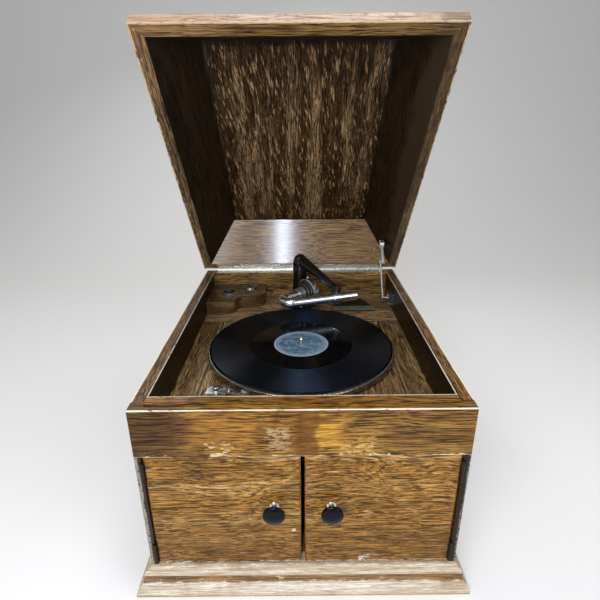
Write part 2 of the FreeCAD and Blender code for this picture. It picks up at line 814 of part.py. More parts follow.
motor_low = board_bottom - size.motor_height
motor_front = spindle_y - size.motor_ahead
motor_back = shelf_front - size.cleat_height / 2 - size.motor_clearance
crank_level = motor_low - size.crank_drop
plate_under = board_bottom - size.plate_thickness
motor_floor = motor_low + size.plate_thickness
fast_level = plate_under - 2 - size.gear_width
slow_level = fast_level - 3 - size.gear_width
governor_level = motor_floor + 4


def away_from(spot, distance, bearing):
    """A point at a distance and bearing, in degrees from +X, in plan."""
    turn = math.radians(float(bearing))
    return Vector(spot.x + float(distance) * math.cos(turn), spot.y + float(distance) * math.sin(turn), 0)


def mesh_distance(pitch, one, other):
    return pitch * (one + other) / 2


spindle_spot = Vector(0, float(spindle_y), 0)
wheel_spot = away_from(spindle_spot, mesh_distance(size.gear_pitch, size.spindle_teeth, size.wheel_teeth),
                       size.wheel_bearing)
barrel_spot = away_from(wheel_spot, mesh_distance(size.gear_pitch, size.pinion_teeth, size.barrel_teeth),
                        size.barrel_bearing)
governor_spot = away_from(spindle_spot, mesh_distance(size.governor_pitch, size.governor_wheel_teeth,
                                                      size.governor_teeth), size.governor_bearing)


def gear(name, spot, level, teeth, pitch, bore, tooth_bearing, tooth_on_line):
    """Spur gear with straight-flanked teeth. On the bearing given lies a tooth, or else a gap."""
    count, module, thick = round(float(teeth)), float(pitch), float(size.gear_width)
    pitch_radius = module * count / 2
    tip, root = pitch_radius + 0.9 * module, pitch_radius - 1.2 * module
    half_pitch = (math.pi * module / 2 - float(size.gear_backlash) * module) / 2
    lean = math.tan(math.radians(20))
    tip_half = (half_pitch - 0.9 * module * lean) / tip
    root_half = (half_pitch + 1.0 * module * lean) / root
    start = math.radians(float(tooth_bearing)) + (0 if tooth_on_line else math.pi / count)
    corners = []
    for tooth in range(count):
        middle = start + 2 * math.pi * tooth / count
        for radius, offset in ((root, -root_half), (tip, -tip_half), (tip, tip_half), (root, root_half)):
            corners.append(Vector(radius * math.cos(middle + offset), radius * math.sin(middle + offset), 0))
    outline = Part.makePolygon(corners + corners[:1])
    hole = Part.Wire(Part.makeCircle(float(bore)))
    solid = doc.addObject("Part::Feature", name)
    solid.Shape = Part.makeFace([outline, hole], "Part::FaceMakerBullseye").extrude(Vector(0, 0, thick))
    return pose(solid, turned_at((spot.x, spot.y, level)))


def bearing_between(spot, other):
    return math.degrees(math.atan2(other.y - spot.y, other.x - spot.x))


def motor_plate(low):
    """Motor plate with bearing holes for the spindle, the wheel arbor, the spring arbor and the governor."""
    outline = rectangle(-size.motor_left, motor_front, size.motor_right, motor_back)
    body = slab("motor_plate", "XY_Plane", outline, size.plate_thickness, low)
    soften(body, body.Tip, "Fillet", size.pillar_inset, lambda e: abs(e.Vertexes[0].Z - e.Vertexes[-1].Z) > 1)
    for spot, radius in ((spindle_spot, size.spindle_radius), (wheel_spot, size.arbor_radius),
                         (barrel_spot, size.arbor_radius), (governor_spot, size.governor_shaft_radius)):
        hole = new_sketch(body, "XY_Plane")
        draw_circle(hole, spot.x, spot.y, radius + size.pin_clearance)
        cut_through(body, hole)
    return body


def motor():
    """Spring motor under the board: barrel, wheel and spindle geared together, and a three-weight governor."""
    keep("motor_plates", group("motor_plates", [motor_plate(motor_low), motor_plate(plate_under)]))
    pillars = []
    for x in (-size.motor_left + size.pillar_inset, size.motor_right - size.pillar_inset):
        for y in (motor_front + size.pillar_inset, motor_back - size.pillar_inset):
            pillars.append(cylinder("motor_pillar", size.pillar_radius, plate_under - motor_floor, (x, y, motor_floor)))
    keep("motor_pillars", group("motor_pillars", pillars))
    reach = record_top + size.spindle_tip - motor_low
    thick, thin = size.spindle_radius, size.spindle_radius - 1.2
    rod = turned("spindle_rod", [
        (0, 0), (thick, 0), (thick, reach - 4), (thin, reach - 1.2), (thin - 1.2, reach), (0, reach),
    ])
    place(rod, 0, spindle_y, motor_low)
    to_wheel = bearing_between(spindle_spot, wheel_spot)
    to_barrel = bearing_between(wheel_spot, barrel_spot)
    to_governor = bearing_between(spindle_spot, governor_spot)
    pitch, fine = size.gear_pitch, size.governor_pitch
    shaft, arbor = size.spindle_radius - 0.5, size.arbor_radius - 0.5
    pinion = gear("spindle_pinion", spindle_spot, fast_level, size.spindle_teeth, pitch, shaft, to_wheel, True)
    large = gear("governor_wheel", spindle_spot, governor_level, size.governor_wheel_teeth, fine, shaft,
                 to_governor, True)
    keep("spindle", fuse("spindle", rod, pinion, large))
    wheel = gear("drive_wheel", wheel_spot, fast_level, size.wheel_teeth, pitch, arbor, to_wheel + 180, False)
    small = gear("drive_pinion", wheel_spot, slow_level, size.pinion_teeth, pitch, arbor, to_barrel, True)
    tall = board_bottom - motor_low
    axle = cylinder("wheel_arbor", size.arbor_radius, tall, (wheel_spot.x, wheel_spot.y, motor_low))
    keep("intermediate_wheel", fuse("intermediate_wheel", axle, wheel, small))
    bore = size.arbor_radius + size.pin_clearance
    crown = gear("barrel_gear", barrel_spot, slow_level, size.barrel_teeth, pitch, bore, to_barrel + 180, False)
    wide, high = size.barrel_radius, size.barrel_height
    drum = turned("barrel_drum", [
        (bore, 0), (wide - 2, 0), (wide, 2), (wide, high - 4), (wide - 1.5, high - 4), (wide - 1.5, high - 2),
        (wide, high - 2), (wide, high), (bore, high),
    ])
    place(drum, barrel_spot.x, barrel_spot.y, slow_level - high)
    keep("spring_barrel", fuse("spring_barrel", drum, crown))
    governor(to_governor)


def governor(to_governor):
    """Governor: an upright shaft with its pinion and friction disc, and three weights on leaf springs."""
    slim, swing = size.governor_shaft_radius, size.governor_swing
    x, y = governor_spot.x, governor_spot.y
    shaft = cylinder("governor_rod", slim, board_bottom - motor_low, (x, y, motor_low))
    pinion = gear("governor_pinion", governor_spot, governor_level, size.governor_teeth, size.governor_pitch,
                  slim - 0.5, to_governor + 180, False)
    low = governor_level + size.gear_width
    high = plate_under - 4
    hub, flange = size.governor_hub, size.governor_disc_thickness
    collar = cylinder("governor_collar", hub, 5, (x, y, low))
    upper = cylinder("governor_upper_collar", hub, 5, (x, y, high - flange - 5))
    disc = cylinder("governor_disc", swing, flange, (x, y, high - flange))
    keep("governor", fuse("governor", shaft, pinion, collar, upper, disc))
    top = high - flange - 5 - low
    middle, leaf = (top + 5) / 2, 0.8
    outline = [
        (hub, 0.5), (hub + leaf, 0.5), (hub + leaf, 5), (swing - 2, middle - 5), (swing + 3, middle - 5),
        (swing + 3, middle + 5), (swing - 2, middle + 5), (hub + leaf, top), (hub + leaf, top + 4.5),
        (hub, top + 4.5), (hub, top - 0.6), (swing - 3, middle + 5), (swing - 3, middle - 5), (hub, 5.6),
    ]
    weights = []
    for turn in (0, 120, 240):
        weight = slab("governor_weight", "XZ_Plane", outline, 6, both_ways=True)
        weights.append(pose(weight, turned_at((x, y, low), angle=turn)))
    keep("governor_weights", group("governor_weights", weights))


def winding():
    """Winding crank on the right side, its bearing, and the gear case that turns the spring arbor."""
    clear, shaft = size.pin_clearance, size.crank_shaft_radius
    x, y, level = barrel_spot.x, barrel_spot.y, crank_level
    reach = size.gear_case_reach
    case = box("gear_case_block", (x - reach, y - reach, level - shaft - 10),
               (reach * 2, reach * 2, motor_low - level + shaft + 10))
    along = cylinder("gear_case_bore", shaft + clear, reach * 2)
    pose(along, turned_at((x - reach, y, level), (0, 1, 0), 90))
    up = cylinder("gear_case_arbor_bore", size.arbor_radius + clear, motor_low - level - shaft, (x, y, level + shaft + 3))
    keep("gear_case", cut("gear_case", case, along, up))
    arbor_low = level + shaft + 3
    keep("spring_arbor", cylinder("spring_arbor", size.arbor_radius, board_bottom - arbor_low, (x, y, arbor_low)))
    start = x - reach
    end = half + size.crank_stand_off
    rod = cylinder("crank_rod", shaft, end - start)
    pose(rod, turned_at((start, y, level), (0, 1, 0), 90))
    thick, wide = size.crank_arm_thickness, shaft + 3
    throw = size.crank_throw
    tip = wide - 2
    web = [(-wide, 0, -wide * 1.05), (wide, 0), (tip, -throw, -tip * 1.05), (-tip, -throw)]
    arm = slab("crank_web", "YZ_Plane", web, thick)
    pose(arm, turned_at((end - thick, y, level)))
    pin = cylinder("grip_pin", shaft - 1.5, size.grip_length + 3)
    pose(pin, turned_at((end, y, level - throw), (0, 1, 0), 90))
    keep("winding_crank", fuse("winding_crank", rod, arm, pin))
    hole, grip = shaft - 1.5 + clear, size.grip_radius
    long = size.grip_length
    handle = turned("crank_grip", [
        (hole, 0), (grip - 3, 0), (grip - 3, 4), (grip, long * 0.55, size.grip_bow), (grip - 1, long - 5, 6), (grip - 5, long),
        (hole, long),
    ])
    keep("crank_grip", pose(handle, turned_at((end + size.leaf_clearance, y, level - throw), (0, 1, 0), 90)))
    flange = turned("crank_bearing", [
        (shaft + clear, -size.wall), (shaft + 2 - clear, -size.wall), (shaft + 2 - clear, 0),
        (size.escutcheon_radius, 0), (size.escutcheon_radius, 1.5), (shaft + 5, 3), (shaft + clear, 4),
    ])
    keep("crank_bearing", pose(flange, turned_at((half, y, level), (0, 1, 0), 90)))


def ring(sketch, across, up, radius, wall):
    draw_circle(sketch, across, up, radius)
    return draw_circle(sketch, across, up, radius - wall)


def piped(name, section, path):
    """A tube: a ring swept along straight runs and arcs."""
    body = section.getParentGeoFeatureGroup()
    feature = body.newObject("PartDesign::AdditivePipe", name + "_pipe")
    feature.Profile = section
    feature.Spine = (path, [f"Edge{n}" for n in range(1, path.GeometryCount + 1)])
    doc.recompute()
    return body


def horn():
    """Iron throat elbow under the shelf and a wooden horn that widens under the motor to the doors."""
    bend, radius = size.elbow_bend, size.throat_radius + size.elbow_wall
    turn_level = motor_low - 8
    body = new_body("horn_elbow")
    path = new_sketch(body, "YZ_Plane")
    line_top = Vector(float(bracket_y), float(board_bottom), 0)
    line_end = Vector(float(bracket_y), float(turn_level), 0)
    path.addGeometry(Part.LineSegment(line_top, line_end))
    centre = line_end - Vector(float(bend), 0, 0)
    path.addGeometry(Part.ArcOfCircle(Part.Circle(centre, Vector(0, 0, 1), float(bend)), -math.pi / 2, 0))
    section = ring(new_sketch(body, "XY_Plane", board_bottom), 0, bracket_y, radius, size.elbow_wall)
    keep("horn_elbow", piped("horn_elbow", section, path))
    throat_level = turn_level - bend
    throat_y = bracket_y - bend
    wall = size.horn_wall
    mouth_y = front + size.wall + size.leaf_clearance
    knee_y = spindle_y - size.motor_ahead / 3
    mouth = (inner - size.leaf_clearance, size.base_height + size.leaf_clearance, rail_bottom - size.leaf_clearance)
    sections = [
        (throat_y, radius + wall / 2, throat_level - radius - wall / 2, throat_level + radius + wall / 2),
        (knee_y, inner * 0.56, throat_level - radius - 15, throat_level + radius + wall / 2),
        (mouth_y, *mouth),
    ]
    body = new_body("horn")
    for kind, skin in (("AdditiveLoft", as_size(0)), ("SubtractiveLoft", wall)):
        outlines = []
        for y, wide, low, high in sections:
            corners = rectangle(-wide + skin, low + skin, wide - skin, high - skin)
            outlines.append(draw(new_sketch(body, "XZ_Plane", -y), corners))
        loft = body.newObject(f"PartDesign::{kind}", "horn_" + kind.lower())
        loft.Profile = outlines[0]
        loft.Sections = outlines[1:]
        loft.Ruled = True
        doc.recompute()
    keep("horn", body)


arm_level = board_top + size.bracket_height
elbow_spot = Vector(float(size.arm_reach), float(bracket_y - size.arm_forward), 0)


def tone_arm():
    """Tone arm: a fixed bracket, a swinging arm, and a swivel that folds the nickel gooseneck back beside it."""
    clear, gap, bore = size.pin_clearance, size.swivel_gap, size.bracket_bore
    wide, tall, crest, flange = (size.bracket_radius, size.bracket_height, size.bracket_top_radius,
                                 size.bracket_flange_radius)
    column = turned("tone_arm_bracket", [
        (bore, 0), (flange, 0), (flange, size.bracket_flange_edge), (flange - 2, size.bracket_flange_edge + 2),
        (wide + 4, size.bracket_flange_edge + 3), (wide, size.bracket_foot_height), (crest, tall), (bore, tall),
    ])
    keep("tone_arm_bracket", place(column, 0, bracket_y, board_top))
    crown = size.arm_head_height
    head = turned("arm_head", [
        (0, -size.arm_spigot), (bore - clear, -size.arm_spigot), (bore - clear, gap), (crest + 1, gap),
        (crest + 0.5, crown - size.arm_shoulder), (crest - 3, crown - 5, size.arm_crown_round), (0.5, crown), (0, crown),
    ])
    pose(head, turned_at((0, bracket_y, arm_level)))
    root = size.arm_root_radius
    start = Vector(0, float(bracket_y), float(arm_level + crown - root))
    finish = Vector(elbow_spot.x, elbow_spot.y, float(arm_level + crown - root - size.arm_drop))
    run = finish - start
    tube = cone("arm_tube", root, size.arm_tip_radius, run.Length)
    pose(tube, Placement(start, Rotation(Vector(0, 0, 1), run)))
    boss_height = size.arm_tip_radius * 2
    boss_low = as_size(finish.z) - size.arm_tip_radius
    boss = cylinder("arm_boss", size.arm_tip_radius + 3, boss_height, (finish.x, finish.y, boss_low))
    hold = size.tube_radius + size.collar_wall
    tube_level = boss_low - gap - size.swivel_neck - hold
    pin_radius = size.arm_tip_radius / 2.5
    pin_low = tube_level + size.tube_radius + gap * 3
    pin = cylinder("swivel_pin", pin_radius, boss_low - pin_low + 1, (finish.x, finish.y, pin_low))
    keep("tone_arm", fuse("tone_arm", head, tube, boss, pin))
    swung = Rotation(Vector(0, 0, 1), float(size.tube_yaw))
    across = swung.multiply(Rotation(Vector(0, 1, 0), 90))
    middle = Vector(finish.x, finish.y, float(tube_level))
    along = across.multVec(Vector(0, 0, float(size.collar_length)))
    sleeve = cylinder("collar_sleeve", hold, size.collar_length)
    pose(sleeve, Placement(middle - along * 0.5, across))
    neck = cylinder("collar_neck", pin_radius + 2.5, size.swivel_neck + hold, (finish.x, finish.y, tube_level))
    passage = cylinder("collar_passage", size.tube_radius + clear, size.collar_length * 3)
    pose(passage, Placement(middle - along * 1.5, across))
    pin_bore = cylinder("collar_pin_bore", pin_radius + clear, hold, (finish.x, finish.y, tube_level + size.tube_radius))
    keep("swivel_collar", cut("swivel_collar", fuse("collar_blank", sleeve, neck), passage, pin_bore))
    gooseneck(Placement(middle, swung))


def gooseneck(frame):
    """Nickel tube with a return bend at its far end, carrying the sound box folded back beside it."""
    bend = float(size.tube_bend)
    body = new_body("gooseneck")
    path = new_sketch(body, "XY_Plane")
    corner = Vector(-float(size.tube_left), 0, 0)
    centre = corner + Vector(0, bend, 0)
    heading = math.pi - math.radians(float(size.tube_turn))
    ahead = Vector(math.cos(heading), math.sin(heading), 0)
    beside = Vector(-math.sin(heading), math.cos(heading), 0)
    turn_end = centre + beside * bend
    tube_end = turn_end + ahead * float(size.tube_end)
    path.addGeometry(Part.LineSegment(Vector(float(size.tube_right), 0, 0), corner))
    round_bend = Part.Circle(centre, Vector(0, 0, 1), bend)
    path.addGeometry(Part.ArcOfCircle(round_bend, math.pi / 2 + heading, math.pi * 1.5))
    path.addGeometry(Part.LineSegment(turn_end, tube_end))
    section = ring(new_sketch(body, "YZ_Plane", size.tube_right), 0, 0, size.tube_radius, size.tube_wall)
    keep("gooseneck", pose(piped("gooseneck", section, path), frame))
    bearing = math.radians(float(size.needle_bearing))
    needle_way = beside * math.cos(bearing) + Vector(0, 0, math.sin(bearing))
    facing = Rotation(needle_way, ahead.cross(needle_way), ahead, "ZXY")
    sound_box(frame.multiply(Placement(tube_end, facing)))


def sound_box(seat):
    """Sound box: a stepped back on the tube, a nickel rim, the mica diaphragm, its stylus bar and a needle."""
    neck = size.tube_radius + size.pin_clearance
    wide, deep = size.sound_box_radius, size.sound_box_depth
    shell = turned("sound_box_back", [
        (neck, -8), (neck + 2.5, -8), (neck + 2.5, 1), (neck + 4, 2), (neck + 4, 5), (wide - 9, 6.5), (wide - 9, 9),
        (wide - 5, 11), (wide - 5, 13), (wide - 2, 14), (wide - 2, deep - 6), (wide - 5, deep - 6), (wide - 5, 17), (neck, 9),
    ])
    keep("sound_box_back", pose(shell, seat))
    rim_ring = turned("sound_box_rim", [
        (wide - 2, 14.5), (wide, 15.5), (wide, deep - 2, 2.4), (wide - 2, deep), (wide - 6, deep), (wide - 6, deep - 2),
        (wide - 2, deep - 2),
    ])
    keep("sound_box_rim", pose(rim_ring, seat))
    mica = turned("diaphragm", rectangle(0, deep - 6, wide - 2, deep - 5.4))
    keep("diaphragm", pose(mica, seat))
    post = cylinder("stylus_post", 1.2, 8, (0, 0, deep - 5.4))
    lever = box("stylus_lever", (-1.5, -1.5, deep + 1), (wide + 1.5, 3, 2.4))
    chuck = cylinder("needle_chuck", 1.9, 5)
    pose(chuck, turned_at((wide - 4, 0, deep + 2.2), (0, 1, 0), 90))
    point = cone("needle_point", 0.8, 0.25, size.needle_reach - wide + 2)
    pose(point, turned_at((wide - 2, 0, deep + 2.2), (0, 1, 0), 90))
    keep("stylus_bar", pose(fuse("stylus_bar", post, lever, chuck, point), seat))


def needle_block():
    """Oak block in the rear left corner, with an S-shaped front, an open needle cup and a covered one."""
    tall, left = size.block_height, -inner
    right = left + size.block_length
    near = back_inner - size.block_depth
    nose, bulge, hollow, corner = size.block_nose, size.block_bulge, size.block_hollow, size.block_corner
    waist = near + bulge + size.block_step
    far = waist + hollow
    outline = [
        (left, near), (left + nose, near, bulge), (left + nose + bulge, near + bulge),
        (left + nose + bulge, waist, -hollow), (left + nose + bulge + hollow, far),
        (right - corner, far, corner), (right, far + corner), (right, back_inner), (left, back_inner),
    ]
    body = slab("needle_block_blank", "XY_Plane", outline, tall, board_top)
    cup, wall = size.cup_radius, size.cup_wall
    top = board_top + tall
    depth = tall - size.block_floor
    spots = {
        "open": (left + size.cup_set_in, near + size.cup_set_back),
        "covered": (right - size.cover_set_in, back_inner - cup - size.cover_edge),
    }
    holes = [
        cylinder("cup_hole", cup, depth, (x, y, top - depth)) for x, y in spots.values()
    ]
    keep("needle_block", cut("needle_block", body, *holes))
    cups = []
    for x, y in spots.values():
        bowl = turned("needle_cup", [
            (0, -depth + 1), (cup - 8, -depth + 1, 9), (cup - 0.3, -depth + 10), (cup - 0.3, 0), (cup + 2, 0),
            (cup + 2, 1), (cup - wall, 1), (cup - wall, -depth + 10, -9), (cup - 8, -depth + 1 + wall),
            (0, -depth + 1 + wall),
        ])
        cups.append(place(bowl, x, y, top))
    x, y = spots["covered"]
    cover = turned("needle_cup_cover", [
        (3.5, 1.2), (5.5, 1.2), (cup + 1, 1.05), (cup + 1, 2), (6.5, 3.2), (3.5, 2.4),
    ])
    cups.append(place(cover, x, y, top))
    keep("needle_cups", group("needle_cups", cups))


def brake():
    """Brake at the front left of the motor board: a pivot plate, a lever and a pad that bears on the turntable."""
    spot = Vector(-float(size.brake_across), float(spindle_y - size.brake_ahead), 0)
    skirt_low = record_top - size.record_thickness - size.felt_thickness - size.turntable_height
    plate_long, plate_wide = size.brake_plate_length, size.brake_plate_width
    plate = box("brake_foot", (-plate_long / 2 + 1, -plate_wide / 2, 0),
                (plate_long, plate_wide, size.brake_plate_thickness))
    lever_low = skirt_low - board_top + 1
    bar_thick, stud = size.brake_bar_thickness, size.brake_post_radius
    post = cylinder("brake_post", stud, lever_low + bar_thick + 0.5)
    base_plate = fuse("brake_plate", plate, post)
    keep("brake_plate", pose(base_plate, turned_at((spot.x, spot.y, board_top), angle=-12)))
    contact = size.turntable_radius + size.brake_pad_gap
    pad_thick, pad_wide, tip = size.brake_pad_thickness, size.brake_pad_width, stud
    arm_circle = float(contact + pad_thick + tip)
    away = math.hypot(spot.x, spot.y - float(spindle_y))
    long = float(size.brake_lever_length)
    to_spindle = bearing_between(spot, spindle_spot)
    inward = math.degrees(math.acos((away ** 2 + long ** 2 - arm_circle ** 2) / (2 * away * long)))
    heading = to_spindle - inward
    end = away_from(spot, long, heading)
    reach = size.brake_lever_length
    bar = slab("brake_bar", "XY_Plane", [(0, -stud * 2, -stud * 2.1), (0, stud * 2), (reach, tip, -tip * 1.05),
                                         (reach, -tip)], bar_thick)
    eye = cylinder("brake_eye", stud + size.pin_clearance, bar_thick)
    thumb = cylinder("brake_thumb", stud, bar_thick * 3, (reach * 0.45, -2, 0))
    swung = turned_at((spot.x, spot.y, board_top + lever_low), angle=heading)
    lever = pose(cut("brake_arm", fuse("brake_arm_blank", bar, thumb), eye), swung)
    outward = bearing_between(spindle_spot, end)
    pad_piece = box("brake_pad", (contact, -pad_wide / 2, 0), (pad_thick + 0.5, pad_wide, bar_thick * 2))
    seat = turned_at((0, spindle_y, board_top + lever_low - 1), angle=outward)
    pose(pad_piece, seat.multiply(turned_at((contact, -pad_wide / 2, 0))))
    keep("brake_lever", fuse("brake_lever", lever, pad_piece))


side_panel("left")
side_panel("right")
back_panel()
front_rail()
front_lip()
base()
boards()
door("left")
door("right")
keep("door_hinge_frame_leaves", group("door_hinge_frame_leaves", frame_hinges))
lid()
lid_hinge()
lid_stay()
turntable()
motor()
winding()
horn()
tone_arm()
needle_block()
brake()
doc.recompute()

for thing in doc.Objects:
    if "Invalid" in thing.State or "Error" in thing.State:
        raise RuntimeError(f"{thing.Label}: failed to rebuild ({thing.State})")
for label, solid in pieces.items():
    if solid.Shape.isNull() or not solid.Shape.isValid() or not solid.Shape.Solids:
        raise RuntimeError(f"{label}: no valid solid")

os.makedirs("parts", exist_ok=True)
for label, solid in pieces.items():
    solid.Shape.exportStep(f"parts/{label}.step")
print(len(pieces), "pieces written")
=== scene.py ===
"""Oak tabletop gramophone, dressed: stained oak, nickel, black enamel, shellac and paper, under soft studio light."""

import math
from collections import namedtuple

import bmesh
import bpy
from mathutils import Matrix, Vector


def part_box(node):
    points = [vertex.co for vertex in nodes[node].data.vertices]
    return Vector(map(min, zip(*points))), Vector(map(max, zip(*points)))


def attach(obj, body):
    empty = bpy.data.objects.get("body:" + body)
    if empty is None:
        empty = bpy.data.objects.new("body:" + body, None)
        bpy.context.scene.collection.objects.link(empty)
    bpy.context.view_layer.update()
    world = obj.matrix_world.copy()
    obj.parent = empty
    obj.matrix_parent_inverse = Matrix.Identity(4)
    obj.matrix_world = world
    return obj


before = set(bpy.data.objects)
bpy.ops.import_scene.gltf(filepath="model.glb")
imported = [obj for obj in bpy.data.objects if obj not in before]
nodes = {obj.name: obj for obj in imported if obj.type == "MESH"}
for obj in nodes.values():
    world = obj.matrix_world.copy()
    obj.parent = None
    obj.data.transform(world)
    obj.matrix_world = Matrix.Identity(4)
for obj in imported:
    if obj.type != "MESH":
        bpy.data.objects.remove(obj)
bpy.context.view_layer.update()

MM = 0.001
FAR = 2000  # mm, past every face of the machine

# The lid stands open on its hinge line. Its oak is measured on the shut lid, from the middle of that line.
HINGE = Vector((0, 263, 282.15)) * MM
LID_OPEN = math.radians(52)
LID_MIDDLE = -267 * MM
LID_HALF_WIDTH = 209 * MM
LID_HALF_DEPTH = 264 * MM
LID_SLOPE = 0.65  # how far the boards draw in for each mm of their height

SPINDLE = Vector((0, -19, 0)) * MM
SOUND_BOX = Vector((-0.1, 134.3, 274)) * MM
SOUND_BOX_AXIS = (math.cos(math.radians(38)), math.sin(math.radians(38)), 0)


def paint(code):
    """A colour written as sRGB hex, as linear light."""
    channels = [int(code[i:i + 2], 16) / 255 for i in (1, 3, 5)]
    linear = [c / 12.92 if c <= 0.04045 else ((c + 0.055) / 1.055) ** 2.4 for c in channels]
    return (*linear, 1.0)


def add(tree, kind, inputs=None, out=0, **settings):
    """Add a shader node with its settings. Each input is a value, or the output that feeds it."""
    made = tree.nodes.new("ShaderNode" + kind)
    for name, setting in settings.items():
        setattr(made, name, setting)
    for name, given in (inputs or {}).items():
        if isinstance(given, bpy.types.NodeSocket):
            tree.links.new(given, made.inputs[name])
        else:
            made.inputs[name].default_value = given
    return made.outputs[out]


def new_material(name):
    """A new material, its node tree and its shader."""
    material = bpy.data.materials.new(name)
    material.use_nodes = True
    tree = material.node_tree
    return material, tree, tree.nodes["Principled BSDF"]


# Length along the grain and width across it, in mm, and the detail of each pattern in oak. Real pores are about
# 0.3 mm wide and the fibres finer still; both are drawn about four times as wide, so that they show.
OAK_PATTERNS = {
    "fibre": (50, 1.2, 3),
    "pores": (15, 1.2, 2),
    "rays": (32, 4.4, 2),
    "bands": (460, 26, 2),
    "stain": (70, 55, 4),
    "scuffs": (9, 2.6, 4),
}
GRAIN_DRIFT = (11, 7, 11)  # per metre: the grain strays over about 90 mm across and 140 mm along
SEED_STEP = 7.0  # keeps the patterns of one board apart

# A part of an oak piece with a look of its own, in mm. Its edge is soft, its tint is one colour or the dark and the
# light of its grain, and broken is how far scuffs eat it away.
Zone = namedtuple("Zone", "where low high soft tint strength broken")


def band(axis, low, high, soft, tint, strength, broken=0.0):
    """A zone between two places along an axis."""
    return Zone(axis, low, high, soft, tint, strength, broken)


def spot(first, second, reach, soft, tint, strength, broken=0.0):
    """A zone within reach of two planes at once: a patch on a face, or a line along an edge."""
    return Zone((first, second), -FAR, reach, soft, tint, strength, broken)


def rear_board(tint, strength):
    """The zone of the lid's rear board."""
    return Zone("rear", 0, 0, 0, tint, strength, 0.0)


def oak_axes(tree, lid, mitred):
    """Where a point of an oak piece lies, and the distances that its zones are measured along.

    On the mitred pieces of the lid, outline is how far in from the lid's edge a point is, and skin is how far in from
    the boards' slope. End is 1 on the front and rear boards, and rear is 1 on the rear board.
    """
    place = add(tree, "TexCoord", out="Object")
    if lid:
        place = add(tree, "Mapping", {"Vector": place, "Location": HINGE, "Rotation": (-LID_OPEN, 0, 0)},
                    vector_type="TEXTURE")
    x, y, z = add(tree, "SeparateXYZ", {"Vector": place}).node.outputs
    half = add(tree, "Math", {0: x}, operation="ABSOLUTE")
    axes = {"X": x, "Y": y, "Z": z, "half": half}
    if mitred:
        from_side = add(tree, "Math", {0: LID_HALF_WIDTH, 1: half}, operation="SUBTRACT")
        from_middle = add(tree, "Math", {0: y, 1: LID_MIDDLE}, operation="SUBTRACT")
        from_middle = add(tree, "Math", {0: from_middle}, operation="ABSOLUTE")
        from_end = add(tree, "Math", {0: LID_HALF_DEPTH, 1: from_middle}, operation="SUBTRACT")
        back_half = add(tree, "Math", {0: y, 1: LID_MIDDLE}, operation="GREATER_THAN")
        axes["end"] = add(tree, "Math", {0: from_side, 1: from_end}, operation="GREATER_THAN")
        axes["rear"] = add(tree, "Math", {0: axes["end"], 1: back_half}, operation="MULTIPLY")
        axes["outline"] = add(tree, "Math", {0: from_side, 1: from_end}, operation="MINIMUM")
        axes["skin"] = add(tree, "Math", {0: z, 1: -LID_SLOPE, 2: axes["outline"]}, operation="MULTIPLY_ADD")
    return place, axes


def oak_grain(tree, place, axes, grain, wander, seed):
    """A point's place with the grain laid along Y and straying to both sides; mitred ends have theirs along X."""
    run = place
    if grain != "Y":
        run = add(tree, "CombineXYZ", {"X": axes["Y"], "Y": axes["X"], "Z": axes["Z"]})
    if grain == "mitred":
        run = add(tree, "Mix", {0: axes["end"], 4: place, 5: run}, out=1, data_type="VECTOR")
    slow = add(tree, "VectorMath", {0: run, 1: GRAIN_DRIFT}, operation="MULTIPLY")
    drift = add(tree, "TexNoise", {"Vector": slow, "Scale": 1.0, "Detail": 1.5, "W": seed}, noise_dimensions="4D")
    shift = add(tree, "MapRange", {"Value": drift, "To Min": -wander * MM, "To Max": wander * MM})
    sideways = add(tree, "CombineXYZ", {"X": shift, "Z": shift})
    return add(tree, "VectorMath", {0: run, 1: sideways}, operation="ADD")


def oak_patterns(tree, run, slant, seed):
    """The patterns of oak, drawn out along the grain, and how ragged the edges of its zones are."""
    seen = {}
    for order, (pattern, (along, across, detail)) in enumerate(OAK_PATTERNS.items()):
        scale = (1 / (across * MM), 1 / (along * MM), 1 / (across * MM))
        lean = math.radians(slant) if pattern == "rays" else 0
        laid = add(tree, "Mapping", {"Vector": run, "Rotation": (0, 0, lean)})
        laid = add(tree, "VectorMath", {0: laid, 1: scale}, operation="MULTIPLY")
        seen[pattern] = add(tree, "TexNoise", {"Vector": laid, "Scale": 1.0, "Detail": detail, "Roughness": 0.6,
                                               "W": seed + order * SEED_STEP}, noise_dimensions="4D")
    ragged = add(tree, "Math", {0: seen["stain"], 1: 2.0, 2: seen["scuffs"]}, operation="MULTIPLY_ADD")
    seen["ragged"] = add(tree, "Math", {0: ragged, 1: 1.5}, operation="SUBTRACT")
    return seen


def zone_mask(tree, axes, seen, zone):
    """How much of a zone shows at a point: whole inside, ragged at its edge, and in chips where it is broken."""
    if zone.where == "rear":
        return axes["rear"]
    if zone.where in axes:
        depth = axes[zone.where]
    else:
        depth = 0.0
        for axis, face in zone.where:
            away = add(tree, "Math", {0: axes[axis], 1: face * MM}, operation="SUBTRACT")
            away = add(tree, "Math", {0: away}, operation="ABSOLUTE")
            depth = add(tree, "Math", {0: depth, 1: away}, operation="MAXIMUM")
    depth = add(tree, "Math", {0: seen["ragged"], 1: zone.soft * MM, 2: depth}, operation="MULTIPLY_ADD")
    rise = add(tree, "MapRange", {"Value": depth, "From Min": (zone.low - zone.soft) * MM, "From Max": zone.low * MM},
               interpolation_type="SMOOTHSTEP")
    fall = add(tree, "MapRange", {"Value": depth, "From Min": (zone.high + zone.soft) * MM, "From Max": zone.high * MM},
               interpolation_type="SMOOTHSTEP")
    mask = add(tree, "Math", {0: rise, 1: fall}, operation="MULTIPLY")
    if zone.broken:
        near = add(tree, "Math", {0: mask, 1: 0.3, 2: seen["scuffs"]}, operation="MULTIPLY_ADD")
        chips = add(tree, "MapRange", {"Value": near, "From Min": 0.5 + 0.4 * zone.broken,
                                       "From Max": 0.55 + 0.4 * zone.broken})
        mask = add(tree, "Math", {0: mask, 1: chips}, operation="MULTIPLY")
    return mask


